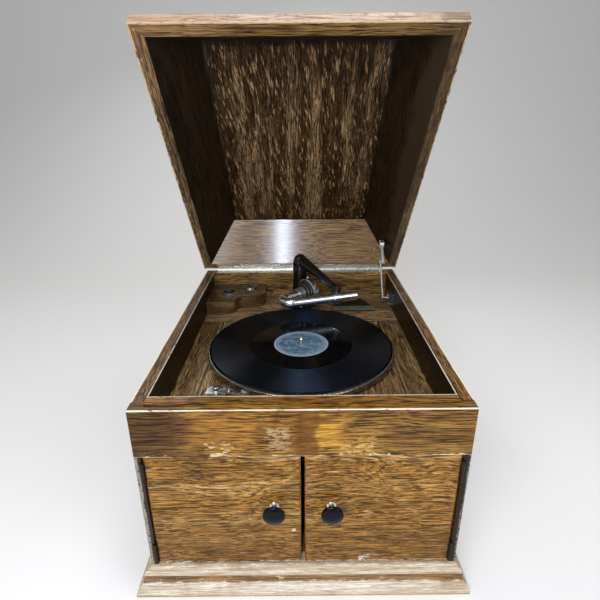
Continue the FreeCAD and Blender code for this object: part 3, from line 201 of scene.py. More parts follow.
def oak(name, deep, body, pale, grain="X", lid=False, fleck=0.25, dash=0.75, streak=0.92, gloom=0.35, wander=7,
        slant=0, polish=0.34, varnish=0.06, relief=0.45, zones=(), seed=0.0):
    """Quarter-sawn oak, fumed, stained and varnished: dark fibre streaks and pore dashes, paler rays and bands.

    Grain is the axis that the fibres follow, and wander is how far they stray from it, in mm. Fleck, dash, streak and
    gloom are how strong the rays, pores, fibres and stains are. Slant is how far the rays lean from the grain, in
    degrees. Where a rear board is named, only that board has the varnish.
    """
    material, tree, shader = new_material(name)
    place, axes = oak_axes(tree, lid, grain == "mitred")
    seen = oak_patterns(tree, oak_grain(tree, place, axes, grain, wander, seed), slant, seed)
    colour = paint(body)
    for pattern, start, end, strength, tint in (
        ("bands", 0.48, 0.68, 0.65, pale),
        ("rays", 0.54, 0.62, fleck, pale),
        ("fibre", 0.56, 0.43, streak, deep),
        ("stain", 0.48, 0.70, gloom, deep),
        ("pores", 0.48, 0.40, dash, deep),
    ):
        share = add(tree, "MapRange", {"Value": seen[pattern], "From Min": start, "From Max": end, "To Max": strength},
                    interpolation_type="SMOOTHSTEP")
        colour = add(tree, "Mix", {0: share, 6: colour, 7: paint(tint)}, out=2, data_type="RGBA")
    rough = add(tree, "MapRange", {"Value": seen["pores"], "From Min": 0.35, "From Max": 0.55, "To Min": polish + 0.16,
                                   "To Max": polish})
    fibre_share = add(tree, "MapRange", {"Value": seen["fibre"], "From Min": 0.41, "From Max": 0.58})
    for zone in zones:
        mask = zone_mask(tree, axes, seen, zone)
        mask = add(tree, "Math", {0: mask, 1: zone.strength}, operation="MULTIPLY")
        if isinstance(zone.tint, str):
            shade = paint(zone.tint)
        else:
            dark, light = zone.tint
            shade = add(tree, "Mix", {0: fibre_share, 6: paint(dark), 7: paint(light)}, out=2, data_type="RGBA")
        colour = add(tree, "Mix", {0: mask, 6: colour, 7: shade}, out=2, data_type="RGBA")
        if zone.broken:
            bare = add(tree, "Math", {0: mask, 1: 0.7}, operation="MULTIPLY")
            rough = add(tree, "Math", {0: rough, 1: bare}, operation="MAXIMUM")
        if zone.where == "rear":
            glossy = add(tree, "Math", {0: axes["rear"], 1: varnish}, operation="MULTIPLY")
            tree.links.new(glossy, shader.inputs["Coat Weight"])
    tree.links.new(colour, shader.inputs["Base Color"])
    tree.links.new(rough, shader.inputs["Roughness"])
    grooved = add(tree, "Math", {0: seen["fibre"], 1: 0.5, 2: seen["pores"]}, operation="MULTIPLY_ADD")
    grooves = add(tree, "Bump", {"Height": grooved, "Strength": relief, "Distance": 0.5 * MM})
    tree.links.new(grooves, shader.inputs["Normal"])
    shader.inputs["Specular IOR Level"].default_value = 0.13
    shader.inputs["Coat Weight"].default_value = varnish
    shader.inputs["Coat Roughness"].default_value = 0.14
    return material


def nickel(name, tint="#dcd8cf", dull="#8f8676", polish=0.14, spotted=0.4, blackened_with_sheen=None):
    """Nickel plate on brass: mirror bright, tarnished warm grey in blotches about 14 mm wide, with pits of 1.5 mm.

    The last argument gives the depths from front to back, in mm, between which the plating turns bright; in front of
    them the plating is blackened by hands and tinted blue-grey as a painted sheen.
    """
    material, tree, shader = new_material(name)
    place = add(tree, "TexCoord", out="Object")
    blotch = add(tree, "TexNoise", {"Vector": place, "Scale": 70.0, "Detail": 5.0, "Roughness": 0.65})
    pits = add(tree, "TexNoise", {"Vector": place, "Scale": 650.0, "Detail": 2.0})
    tarnish = add(tree, "MapRange", {"Value": blotch, "From Min": 0.5, "From Max": 0.72, "To Max": spotted})
    colour = add(tree, "Mix", {0: tarnish, 6: paint(tint), 7: paint(dull)}, out=2, data_type="RGBA")
    pocked = add(tree, "MapRange", {"Value": pits, "From Min": 0.62, "From Max": 0.7, "To Max": spotted * 0.8})
    colour = add(tree, "Mix", {0: pocked, 6: colour, 7: paint("#4d463c")}, out=2, data_type="RGBA")
    if blackened_with_sheen:
        black, bright = blackened_with_sheen
        depth = add(tree, "SeparateXYZ", {"Vector": place}, out="Y")
        front = add(tree, "MapRange", {"Value": depth, "From Min": bright * MM, "From Max": black * MM})
        # Blackened front, tinted blue-grey as a painted sheen.
        colour = add(tree, "Mix", {0: front, 6: colour, 7: paint("#202428")}, out=2, data_type="RGBA")
    rough = add(tree, "MapRange", {"Value": blotch, "From Min": 0.4, "From Max": 0.8, "To Min": polish,
                                   "To Max": polish + 0.28})
    tree.links.new(colour, shader.inputs["Base Color"])
    tree.links.new(rough, shader.inputs["Roughness"])
    shader.inputs["Metallic"].default_value = 1.0
    return material


def enamel(name):
    """Stoved black enamel on cast iron, rubbed to brown in patches of about 16 mm, with a fine orange-peel of 2 mm."""
    material, tree, shader = new_material(name)
    place = add(tree, "TexCoord", out="Object")
    rub = add(tree, "TexNoise", {"Vector": place, "Scale": 60.0, "Detail": 6.0, "Roughness": 0.7})
    peel = add(tree, "TexNoise", {"Vector": place, "Scale": 500.0, "Detail": 1.0})
    share = add(tree, "MapRange", {"Value": rub, "From Min": 0.56, "From Max": 0.72, "To Max": 0.7})
    colour = add(tree, "Mix", {0: share, 6: paint("#120d0b"), 7: paint("#4a3a2c")}, out=2, data_type="RGBA")
    rough = add(tree, "MapRange", {"Value": rub, "From Min": 0.4, "From Max": 0.75, "To Min": 0.16, "To Max": 0.41})
    tree.links.new(colour, shader.inputs["Base Color"])
    tree.links.new(rough, shader.inputs["Roughness"])
    relief = add(tree, "Bump", {"Height": peel, "Strength": 0.2, "Distance": 0.3 * MM})
    tree.links.new(relief, shader.inputs["Normal"])
    return material


def stepped_japan(name):
    """Black japan on the sound box's back, its turned steps rubbed to bare metal, seen as bright and black rings.

    The rub is in patches of about 6 mm.
    """
    material, tree, shader = new_material(name)
    place = add(tree, "TexCoord", out="Object")
    from_neck = add(tree, "VectorMath", {0: place, 1: SOUND_BOX}, operation="SUBTRACT")
    along = add(tree, "VectorMath", {0: from_neck, 1: SOUND_BOX_AXIS}, out="Value", operation="DOT_PRODUCT")
    rub = add(tree, "TexNoise", {"Vector": place, "Scale": 160.0, "Detail": 5.0, "Roughness": 0.7})
    bright = 0.0
    for low, high in ((-9, 4.4), (6.8, 8.4), (11.4, 12.6), (15, 19)):
        rise = add(tree, "MapRange", {"Value": along, "From Min": (low - 0.5) * MM, "From Max": low * MM})
        fall = add(tree, "MapRange", {"Value": along, "From Min": (high + 0.5) * MM, "From Max": high * MM})
        ring = add(tree, "Math", {0: rise, 1: fall}, operation="MULTIPLY")
        bright = add(tree, "Math", {0: ring, 1: bright}, operation="MAXIMUM")
    patchy = add(tree, "MapRange", {"Value": rub, "From Min": 0.36, "From Max": 0.6, "To Min": 0.35})
    bright = add(tree, "Math", {0: bright, 1: patchy}, operation="MULTIPLY")
    colour = add(tree, "Mix", {0: bright, 6: paint("#0d0b0b"), 7: paint("#a9a7a2")}, out=2, data_type="RGBA")
    rough = add(tree, "MapRange", {"Value": rub, "From Min": 0.35, "From Max": 0.7, "To Min": 0.2, "To Max": 0.42})
    tree.links.new(colour, shader.inputs["Base Color"])
    tree.links.new(bright, shader.inputs["Metallic"])
    tree.links.new(rough, shader.inputs["Roughness"])
    return material


def plate_tin(name):
    """Tinplate, japanned black and rubbed through to grey-green over a plain band at the front, in 4 mm patches."""
    material, tree, shader = new_material(name)
    place = add(tree, "TexCoord", out="Object")
    depth = add(tree, "SeparateXYZ", {"Vector": place}, out="Y")
    rub = add(tree, "TexNoise", {"Vector": place, "Scale": 260.0, "Detail": 5.0, "Roughness": 0.7})
    rise = add(tree, "MapRange", {"Value": depth, "From Min": 153 * MM, "From Max": 154 * MM})
    fall = add(tree, "MapRange", {"Value": depth, "From Min": 178 * MM, "From Max": 176 * MM})
    front = add(tree, "Math", {0: rise, 1: fall}, operation="MULTIPLY")
    worn = add(tree, "MapRange", {"Value": rub, "From Min": 0.36, "From Max": 0.56, "To Min": 0.25})
    share = add(tree, "Math", {0: front, 1: worn}, operation="MULTIPLY")
    chips = add(tree, "MapRange", {"Value": rub, "From Min": 0.6, "From Max": 0.68, "To Max": 0.7})
    share = add(tree, "Math", {0: share, 1: chips}, operation="MAXIMUM")
    colour = add(tree, "Mix", {0: share, 6: paint("#12100e"), 7: paint("#8c9287")}, out=2, data_type="RGBA")
    rough = add(tree, "MapRange", {"Value": rub, "From Min": 0.35, "From Max": 0.7, "To Min": 0.25, "To Max": 0.5})
    tree.links.new(colour, shader.inputs["Base Color"])
    tree.links.new(rough, shader.inputs["Roughness"])
    shader.inputs["Metallic"].default_value = 0.3
    return material


def turned_metal(name, tint, dull, polish):
    """Lathe-turned steel or brass, dulled by oily stains about 20 mm wide."""
    material, tree, shader = new_material(name)
    place = add(tree, "TexCoord", out="Object")
    stain = add(tree, "TexNoise", {"Vector": place, "Scale": 50.0, "Detail": 5.0, "Roughness": 0.65})
    share = add(tree, "MapRange", {"Value": stain, "From Min": 0.42, "From Max": 0.68})
    colour = add(tree, "Mix", {0: share, 6: paint(tint), 7: paint(dull)}, out=2, data_type="RGBA")
    rough = add(tree, "MapRange", {"Value": stain, "From Min": 0.4, "From Max": 0.7, "To Min": polish,
                                   "To Max": polish + 0.2})
    tree.links.new(colour, shader.inputs["Base Color"])
    tree.links.new(rough, shader.inputs["Roughness"])
    shader.inputs["Metallic"].default_value = 1.0
    return material


def from_spindle(tree):
    """Object coordinates, the way outward from the spindle, and the distance from it, in metres."""
    place = add(tree, "TexCoord", out="Object")
    outward = add(tree, "VectorMath", {0: place, 1: SPINDLE}, operation="SUBTRACT")
    flat = add(tree, "VectorMath", {0: outward, 1: (1, 1, 0)}, operation="MULTIPLY")
    return place, outward, add(tree, "VectorMath", {0: flat}, out="Value", operation="LENGTH")


def shellac(name):
    """Pressed black shellac: a gloss drawn out across the grooves and tinted blue as a painted reflection, and smooth
    near the label and the rim.

    The grooves are drawn 1.6 mm apart so that they show. The dust lies in patches of about 16 mm.
    """
    material, tree, shader = new_material(name)
    place, outward, radius = from_spindle(tree)
    pitch, innermost, outermost = 1.6, 85.5, 146
    turns = add(tree, "Math", {0: radius, 1: 2 * math.pi / (pitch * MM)}, operation="MULTIPLY")
    grooves = add(tree, "Math", {0: turns}, operation="SINE")
    inner = add(tree, "MapRange", {"Value": radius, "From Min": (innermost - 1) * MM, "From Max": innermost * MM})
    outer = add(tree, "MapRange", {"Value": radius, "From Min": (outermost + 1) * MM, "From Max": outermost * MM})
    cut = add(tree, "Math", {0: inner, 1: outer}, operation="MULTIPLY")
    ringed = add(tree, "CombineXYZ", {"X": radius})
    loud = add(tree, "TexNoise", {"Vector": ringed, "Scale": 260.0, "Detail": 2.0})
    dust = add(tree, "TexNoise", {"Vector": place, "Scale": 60.0, "Detail": 6.0, "Roughness": 0.7})
    grime = add(tree, "MapRange", {"Value": dust, "From Min": 0.5, "From Max": 0.8, "To Max": 0.3})
    # The black is tinted faintly blue, a painted reflection colour that offsets the brown of the lid in its gloss.
    colour = add(tree, "Mix", {0: grime, 6: paint("#020406"), 7: paint("#161d25")}, out=2, data_type="RGBA")
    played = add(tree, "MapRange", {"Value": loud, "From Min": 0.35, "From Max": 0.65, "To Min": 0.2, "To Max": 0.32})
    played = add(tree, "Math", {0: cut, 1: played}, operation="MULTIPLY")
    rough = add(tree, "Math", {0: played, 1: 0.1}, operation="ADD")
    height = add(tree, "Math", {0: grooves, 1: cut}, operation="MULTIPLY")
    relief = add(tree, "Bump", {"Height": height, "Strength": 0.15, "Distance": 0.2 * MM})
    across = add(tree, "VectorTransform", {"Vector": outward}, vector_type="VECTOR", convert_from="OBJECT",
                 convert_to="WORLD")
    tree.links.new(colour, shader.inputs["Base Color"])
    tree.links.new(rough, shader.inputs["Roughness"])
    tree.links.new(relief, shader.inputs["Normal"])
    tree.links.new(across, shader.inputs["Tangent"])
    shader.inputs["Anisotropic"].default_value = 1.0
    shader.inputs["Specular IOR Level"].default_value = 0.5
    # Painted reflection: the gloss is tinted blue, as if the record reflected bluish surroundings.
    shader.inputs["Specular Tint"].default_value = paint("#a9c8ff")
    return material


def label_paper(name):
    """Label paper printed slate blue, rubbed pale in patches of about 8 mm, with plain rings near its rim and hole."""
    material, tree, shader = new_material(name)
    place, _, radius = from_spindle(tree)
    rub = add(tree, "TexNoise", {"Vector": place, "Scale": 120.0, "Detail": 6.0, "Roughness": 0.7})
    pale = add(tree, "MapRange", {"Value": rub, "From Min": 0.42, "From Max": 0.66})
    colour = add(tree, "Mix", {0: pale, 6: paint("#40586a"), 7: paint("#7391a6")}, out=2, data_type="RGBA")
    for low, high, tint, strength in (
        (40.5, 60, "#9fb2be", 0.6),
        (37.4, 38.2, "#a9bac4", 0.8),
        (8, 8.8, "#a9bac4", 0.5),
    ):
        rise = add(tree, "MapRange", {"Value": radius, "From Min": (low - 0.3) * MM, "From Max": low * MM})
        fall = add(tree, "MapRange", {"Value": radius, "From Min": (high + 0.3) * MM, "From Max": high * MM})
        ring = add(tree, "Math", {0: rise, 1: fall}, operation="MULTIPLY")
        ring = add(tree, "Math", {0: ring, 1: strength}, operation="MULTIPLY")
        colour = add(tree, "Mix", {0: ring, 6: colour, 7: paint(tint)}, out=2, data_type="RGBA")
    tree.links.new(colour, shader.inputs["Base Color"])
    shader.inputs["Roughness"].default_value = 0.5
    return material


def baize(name):
    """Green baize: dull wool with a nap of about 1.5 mm."""
    material, tree, shader = new_material(name)
    place = add(tree, "TexCoord", out="Object")
    nap = add(tree, "TexNoise", {"Vector": place, "Scale": 700.0, "Detail": 3.0})
    colour = add(tree, "Mix", {0: nap, 6: paint("#0c140c"), 7: paint("#1c2a1a")}, out=2, data_type="RGBA")
    relief = add(tree, "Bump", {"Height": nap, "Strength": 0.5, "Distance": 0.6 * MM})
    tree.links.new(colour, shader.inputs["Base Color"])
    tree.links.new(relief, shader.inputs["Normal"])
    shader.inputs["Roughness"].default_value = 0.9
    shader.inputs["Sheen Weight"].default_value = 0.3
    return material


def mica_sheet(name):
    """Split mica: thin, pale and slightly cloudy, in clouds about 8 mm wide."""
    material, tree, shader = new_material(name)
    place = add(tree, "TexCoord", out="Object")
    cloud = add(tree, "TexNoise", {"Vector": place, "Scale": 120.0, "Detail": 4.0})
    colour = add(tree, "Mix", {0: cloud, 6: paint("#b9ab8c"), 7: paint("#ddd3bd")}, out=2, data_type="RGBA")
    tree.links.new(colour, shader.inputs["Base Color"])
    shader.inputs["Roughness"].default_value = 0.2
    shader.inputs["Coat Weight"].default_value = 0.5
    return material


def dress(material, *names):
    """Give CAD nodes a material."""
    for name in names:
        slots = nodes[name].data.materials
        slots.clear()
        slots.append(material)


CASE_OAK = ("#1c0f06", "#7c5527", "#b08248")
REAR_GRAIN = ("#3a2610", "#a9834e")
CREAM = "#efe3cb"
DRIP = "#5e360e"
# A dull mid brown over the right end of the lid's boards and rim.
DULL_BROWN_RIGHT = band("X", 180, FAR, 14, "#463624", 0.5, 0.25)

# The lid's top: inside, fumed almost black with pale rays, dark seams along its sides, a painted shadow along its front
# edge under the rim and a darker line along its rear edge; outside, brown with plain ends.
dress(oak("oak_lid_panel", "#0a0501", "#4d3517", "#bb976c", "Y", lid=True, fleck=0.95, dash=0.97, streak=0.92,
          wander=10, slant=12, polish=0.4, zones=(
              spot(("half", 140), ("Z", 80), 2.5, 2, "#080401", 0.85),
              # Painted shadow along the panel's front edge, under the rim.
              spot(("Y", -462), ("Z", 80), 2, 8, "#120a04", 0.8),
              spot(("Y", -72), ("Z", 80), 2, 4, "#0a0502", 0.8),
              band("Z", 82, FAR, 1, ("#1c0f06", "#7c5527"), 0.75),
              spot(("Y", -477), ("Z", 87), 7, 1, "#4a2f16", 0.7),
              spot(("Y", -57), ("Z", 87), 7, 1, "#4a2f16", 0.7))), "lid_top_panel")

# The lid's sloping boards: brown outside, painted almost black inside as painted shade, but the rear board keeps its
# pale grain and is glossy.
dress(oak("oak_lid_boards", *CASE_OAK, "mitred", lid=True, polish=0.45, varnish=0.9, relief=0.15, zones=(
    # Painted shade: the inner faces of the boards, drawn almost black.
    band("skin", 10, FAR, 1, ("#000000", "#2c1d0e"), 0.97),
    DULL_BROWN_RIGHT,
    rear_board(REAR_GRAIN, 0.95))), "lid_boards")

# The lid's rim: golden brown in front with its outer face painted pale as a painted reflection of overhead light,
# painted shade inside, a painted sheen at the left front and along the left end, and worn pale along its edges.
dress(oak("oak_lid_rim", "#170c04", "#6c5030", "#b3925f", "mitred", lid=True, dash=0.95, gloom=0.6, varnish=0.9, zones=(
    band("Y", -FAR, -508, 6, ("#1f1205", "#8c6838"), 0.75),
    # Painted reflection of overhead light on the rim's outer face, broken by brown patches.
    band("Y", -FAR, -530, 0.8, ("#957d68", "#d6c0ad"), 0.85),
    band("Y", -FAR, -530, 0.8, "#6b4a2c", 0.6, 0.9),
    # Painted sheen: paler grain towards the rim's front-left corner.
    spot(("X", -209), ("Y", -535), 90, 60, ("#5d3f24", "#b28a60"), 0.45),
    # Painted shade: the rim's inner faces, drawn near black.
    band("outline", 17.3, FAR, 0.4, ("#030200", "#1a1109"), 0.95),
    DULL_BROWN_RIGHT,
    rear_board(REAR_GRAIN, 0.9),
    spot(("outline", 0), ("Z", 0), 1.2, 1.5, "#cdb089", 0.85, 0.55),
    # Painted highlight: whitish patches along the rim's left end.
    band("X", -FAR, -203, 5, "#d8c7aa", 0.5, 0.95))), "lid_rim_frame")

# The apron over the doors: golden, dark at its ends, with a brown drip in the middle, pale scuffs and worn edges.
dress(oak("oak_apron", "#241205", "#a36f28", "#d8a856", "X", gloom=0.6, zones=(
    band("X", -FAR, -160, 60, ("#1d0f08", "#5a3b1e"), 0.85),
    band("X", 110, FAR, 90, ("#2b1b0d", "#86602f"), 0.6),
    spot(("X", -95), ("Z", 250), 25, 24, ("#4f300f", "#b37d34"), 0.75),
    spot(("X", 27), ("Z", 248), 12, 22, ("#7a4d14", "#daa443"), 0.85),
    spot(("X", -31), ("Z", 240), 8, 34, "#c9b184", 0.5, 0.68),
    spot(("X", -104), ("Z", 214), 4, 56, "#ead2a2", 0.8, 0.66),
    spot(("X", 62), ("Z", 214), 4, 56, "#d6aa5f", 0.8, 0.66),
    band("Z", -FAR, 216, 14, "#ecd9ae", 0.85, 0.86),
    spot(("X", 7), ("Z", 268), 10, 6, DRIP, 0.7),
    spot(("X", 5), ("Z", 248), 8, 6, DRIP, 0.7),
    spot(("X", 6), ("Z", 229), 11, 6, DRIP, 0.7),
    spot(("Z", 215), ("Y", -260), 0.8, 1.2, CREAM, 0.8, 0.45),
    spot(("Z", 282), ("Y", -260), 0.8, 1.2, CREAM, 0.85, 0.35))), "front_rail")

# The doors: golden oak with a lively figure, chipped at the foot, with a scuff on the right and a chip on the left.
dress(oak("oak_doors", "#231203", "#ad7a33", "#dfb06c", "X", fleck=0.5, streak=0.86, wander=16, gloom=0.45, slant=8,
          zones=(
              band("Z", -FAR, 41, 8, CREAM, 0.7, 0.7),
              band("Z", -FAR, 60, 60, "#4a3018", 0.3),
              spot(("X", 81), ("Z", 46), 4, 10, "#d8cfc0", 0.7, 0.66),
              spot(("X", -12), ("Z", 97), 0.6, 2.4, "#e2d5bd", 0.85))), "door_left", "door_right")

# The sides: brown outside, painted almost black inside the well as painted shade, with cream worn edges, dirty front
# ends and a painted highlight on the left front edge.
SIDE_ZONES = (
    # Painted shade on the inner faces of the well.
    band("half", -FAR, 187.5, 0.8, ("#020100", "#150d07"), 0.95),
    band("Z", -FAR, 42, 6, CREAM, 0.4, 0.85),
    spot(("Z", 282), ("half", 203), 0.8, 1.5, CREAM, 0.9, 0.25),
    spot(("Z", 282), ("half", 186), 0.6, 1.0, CREAM, 0.8, 0.35),
)
dress(oak("oak_left_side", *CASE_OAK, "Y", zones=SIDE_ZONES + (
    band("Y", -FAR, -259, 0.8, "#2b2822", 0.85),
    # Painted highlight: a whitish patch on the left side's front edge.
    spot(("X", -203), ("Y", -260), 3, 4, "#a19a8b", 0.8, 0.5))), "side_panel_left")
dress(oak("oak_right_side", *CASE_OAK, "Y", seed=4.0, zones=SIDE_ZONES + (
    band("Y", -FAR, -259, 0.8, "#171511", 0.9),
    spot(("X", 203), ("Y", -260), 1.5, 3, "#8d877a", 0.7, 0.66))), "side_panel_right")

# The lip in front of the well: golden, with a pale worn inner edge and a dark foot.
dress(oak("oak_lip", "#241206", "#966a2e", "#b98a48", "X", zones=(
    spot(("Y", -233), ("Z", 284.5), 2.2, 1.5, "#d9cfc0", 0.85, 0.35),
    band("Z", -FAR, 275, 3, "#1c1008", 0.8))), "front_lip")

dress(oak("oak_back", "#1f1206", "#946f3a", "#c49c5c", "X"), "back_panel", "base_rail_back", "bottom_board")

# The base moulding: bleached almost to bare wood, with old stain left in its hollow.
BASE_ZONES = (
    band("Z", 18, 24, 3, ("#452a0f", "#9a6f3a"), 0.9, 0.35),
    band("Z", 36.5, FAR, 1.5, "#8f7350", 0.5, 0.6),
    band("Z", -FAR, 1.5, 2, "#9a8058", 0.7, 0.4),
)
dress(oak("oak_base_front", "#7a5630", "#dccdb4", "#f4eddf", "X", dash=0.35, streak=0.5, gloom=0.45, wander=3,
          zones=BASE_ZONES), "base_moulding_front")
dress(oak("oak_base_sides", "#7a5630", "#d2c2a6", "#ece2cf", "Y", dash=0.4, streak=0.5, gloom=0.45, wander=3,
          zones=BASE_ZONES), "base_moulding_sides")

# The boards in the well, with a dark seam where they meet and a pale line beside it, a painted highlight on the edge of
# the surround.
dress(oak("oak_boards", "#1f1206", "#8a6840", "#c3a371", "Y", zones=(
    # Painted highlight: a pale line along the edge of the surround.
    spot(("half", 150.2), ("Z", 229), 0.8, 1.2, "#cdae80", 0.7, 0.45),
    spot(("half", 148), ("Z", 229), 0.6, 1.2, "#120a04", 0.8))), "motor_board", "board_surround")
dress(oak("oak_shelf", "#1f1206", "#c69d6c", "#e6cda4", "X"), "rear_shelf", "board_cleats")
dress(oak("oak_needle_block", "#0a0502", "#573c22", "#97784f", "X", streak=0.35, polish=0.2, varnish=0.5),
      "needle_block")
dress(oak("oak_horn", "#33200f", "#7d5a30", "#a18150", "Y"), "horn")
dress(oak("oak_grip", "#1c100a", "#351d0f", "#573720", "X", polish=0.25), "crank_grip")

# Plated metal, from the mirror-bright tube to the dull turntable and the dark door hinges.
dress(nickel("nickel_hinge", "#d8d6cc", "#a79c80", 0.26, 0.25), "lid_hinge_lower_leaf", "lid_hinge_upper_leaf")
dress(nickel("nickel_plate"), "board_screws", "crank_bearing", "winding_crank", "spindle")
dress(nickel("nickel_cups", "#a3a8ae", "#5f5a52", 0.18), "needle_cups")
dress(nickel("nickel_bright", "#eef2f4", "#b8b4aa", 0.16, 0.35), "gooseneck", "swivel_collar", "sound_box_rim",
      "stylus_bar", "brake_plate", "brake_lever")
dress(nickel("nickel_brushed", "#e9e6df", "#a39b8d", 0.34), "stay_rod", "stay_channel")
dress(nickel("nickel_foot", "#b4b6b6", "#3a3733", 0.24, 0.6), "stay_lower_bracket")
dress(nickel("nickel_blackened", "#5a554c", "#2a251f", 0.3, 0.6), "stay_upper_bracket")
dress(nickel("nickel_worn", "#a59d8f", "#5b5145", 0.2, 0.9), "turntable")
dress(nickel("bronzed_leaves", "#3d352a", "#241d16", 0.45), "door_hinge_frame_leaves", "door_leaves_left",
      "door_leaves_right")
dress(nickel("nickel_knobs", "#d6d2ca", "#8f8676", 0.18, 0.5, (-272, -270)), "knob_left", "knob_right")

dress(enamel("black_enamel"), "tone_arm_bracket", "tone_arm", "horn_elbow", "gear_case")
dress(stepped_japan("stepped_japan"), "sound_box_back")
dress(turned_metal("motor_steel", "#8d8c88", "#5d5850", 0.35), "motor_plates", "motor_pillars",
      "intermediate_wheel", "spring_barrel", "spring_arbor")
dress(turned_metal("motor_brass", "#b99a5b", "#7c6434", 0.3), "governor", "governor_weights")
dress(baize("green_baize"), "turntable_felt")
dress(shellac("black_shellac"), "record")
dress(mica_sheet("mica"), "diaphragm")


def place_mesh(name, shape, material):
    """Turn a finished bmesh into an object at the origin."""
    mesh = bpy.data.meshes.new(name)
    shape.to_mesh(mesh)
    shape.free()
    mesh.materials.append(material)
    made = bpy.data.objects.new(name, mesh)
    bpy.context.scene.collection.objects.link(made)
    return made


def piece(name, shape, material, body):
    """Close a finished bmesh, and turn it into a piece that rides on a body."""
    bmesh.ops.remove_doubles(shape, verts=shape.verts, dist=1e-6)
    bmesh.ops.recalc_face_normals(shape, faces=shape.faces)
    made = place_mesh(name, shape, material)
    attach(made, body)


def grown_verts(grown):
    """The new vertices of an extrusion."""
    return [v for v in grown["geom"] if isinstance(v, bmesh.types.BMVert)]


def record_label():
    """Paper label in the middle of the record, with its centre hole."""
    hole, rim, thick = 3.7 * MM, 45 * MM, 0.2 * MM
    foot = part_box("record")[1].z - thick
    shape = bmesh.new()
    edge = shape.edges.new([shape.verts.new((radius, 0, foot)) for radius in (hole, rim)])
    raised = bmesh.ops.extrude_edge_only(shape, edges=[edge])
    bmesh.ops.translate(shape, verts=grown_verts(raised), vec=(0, 0, thick))
    bmesh.ops.spin(shape, geom=shape.verts[:] + shape.edges[:] + shape.faces[:], cent=(0, 0, 0), axis=(0, 0, 1),
                   angle=2 * math.pi, steps=96, use_merge=True)
    section = [f for f in shape.faces if all(abs(v.co.y) < 1e-7 for v in f.verts)]
    bmesh.ops.delete(shape, geom=section, context="FACES_ONLY")
    bmesh.ops.translate(shape, verts=shape.verts, vec=SPINDLE)
    piece("record_label", shape, label_paper("label_paper"), "turntable_set")


def bare_plate():
    """Bare tinplate on the rear shelf with an arched back edge and a raised rim, and a brass pin at each front corner.

    Its outline is in mm, seen from above.
    """
    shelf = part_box("rear_shelf")[1].z
    thick = 1.2 * MM
    middle = 107
    shape = bmesh.new()
    right = [(150, 150), (150, 179), (143, 183), (139, 199), (126, 218), (middle, 224)]
    left = [(2 * middle - x, y) for x, y in reversed(right[:-1])]
    face = shape.faces.new([shape.verts.new((x * MM, y * MM, shelf)) for x, y in right + left])
    grown = bmesh.ops.extrude_face_region(shape, geom=[face])
    bmesh.ops.translate(shape, verts=grown_verts(grown), vec=(0, 0, thick))
    upper = [f for f in shape.faces if f.calc_center_median().z > shelf + 0.9 * thick]
    bmesh.ops.inset_region(shape, faces=upper, thickness=1.6 * MM, depth=-0.4 * MM)
    piece("bare_plate", shape, plate_tin("plate_tin"), "cabinet")
    pins = bmesh.new()
    for x in (68, 146):
        seat = Matrix.Translation((x * MM, 154 * MM, shelf + thick)) @ Matrix.Diagonal((1, 1, 0.6, 1))
        bmesh.ops.create_uvsphere(pins, u_segments=20, v_segments=12, radius=2.8 * MM, matrix=seat)
    piece("plate_pins", pins, turned_metal("pin_brass", "#d8b66c", "#8a6c34", 0.25), "cabinet")


def slotted_screws(name, spots, radius, material):
    """Slotted screw heads on the cabinet, with a chamfer and a slot sized by the head's radius in mm.

    Each spot is a place in mm, the way the head faces, and the turn of its slot in degrees.
    """
    head = bmesh.new()
    bmesh.ops.create_cone(head, cap_ends=True, segments=28, radius1=radius * MM, radius2=radius * 0.86 * MM,
                          depth=radius * 0.36 * MM)
    rim = [e for e in head.edges if all(v.co.z > 0 for v in e.verts)]
    bmesh.ops.bevel(head, geom=rim, offset=radius * 0.16 * MM, segments=3, profile=0.5, affect="EDGES", material=-1)
    for side in (-1, 1):
        bmesh.ops.bisect_plane(head, geom=head.verts[:] + head.edges[:] + head.faces[:],
                               plane_co=(side * radius * 0.13 * MM, 0, 0), plane_no=(1, 0, 0))
    slot = [f for f in head.faces if f.normal.z > 0.95 and abs(f.calc_center_median().x) < radius * 0.1 * MM]
    bmesh.ops.inset_region(head, faces=slot, thickness=radius * 0.02 * MM, depth=-radius * 0.2 * MM)
    pattern = bpy.data.meshes.new(name + "_head")
    head.to_mesh(pattern)
    head.free()
    shape = bmesh.new()
    for place, facing, turn in spots:
        before = len(shape.verts)
        shape.from_mesh(pattern)
        shape.verts.ensure_lookup_table()
        aim = Vector((0, 0, 1)).rotation_difference(Vector(facing)).to_matrix().to_4x4()
        seat = Matrix.Translation(Vector(place) * MM) @ aim @ Matrix.Rotation(math.radians(turn), 4, "Z")
        bmesh.ops.transform(shape, matrix=seat, verts=shape.verts[before:])
    bpy.data.meshes.remove(pattern)
    piece(name, shape, material, "cabinet")


record_label()
bare_plate()
screw_nickel = nickel("screw_nickel", "#cfc9bd", "#7b715f", 0.2)
FLANGE_Y, FLANGE_FACE, FLANGE_RING = 192, 234.9, 27  # mm, the tone arm's flange: middle, top face and ring of screws
FOOT_FACE, FOOT_Y, FOOT_Z = 174.1, 160, 254  # mm, the foot of the lid's stay: its face and its middle
slotted_screws("arm_flange_screws", [
    ((FLANGE_RING * math.cos(math.radians(turn)), FLANGE_Y + FLANGE_RING * math.sin(math.radians(turn)), FLANGE_FACE),
     (0, 0, 1), turn + 20) for turn in (30, 150, 270)], 3.2, screw_nickel)
slotted_screws("stay_foot_screws", [
    ((FOOT_FACE, FOOT_Y + side, FOOT_Z - side), (-1, 0, 0), 35) for side in (-8.5, 8.5)], 2.2, screw_nickel)


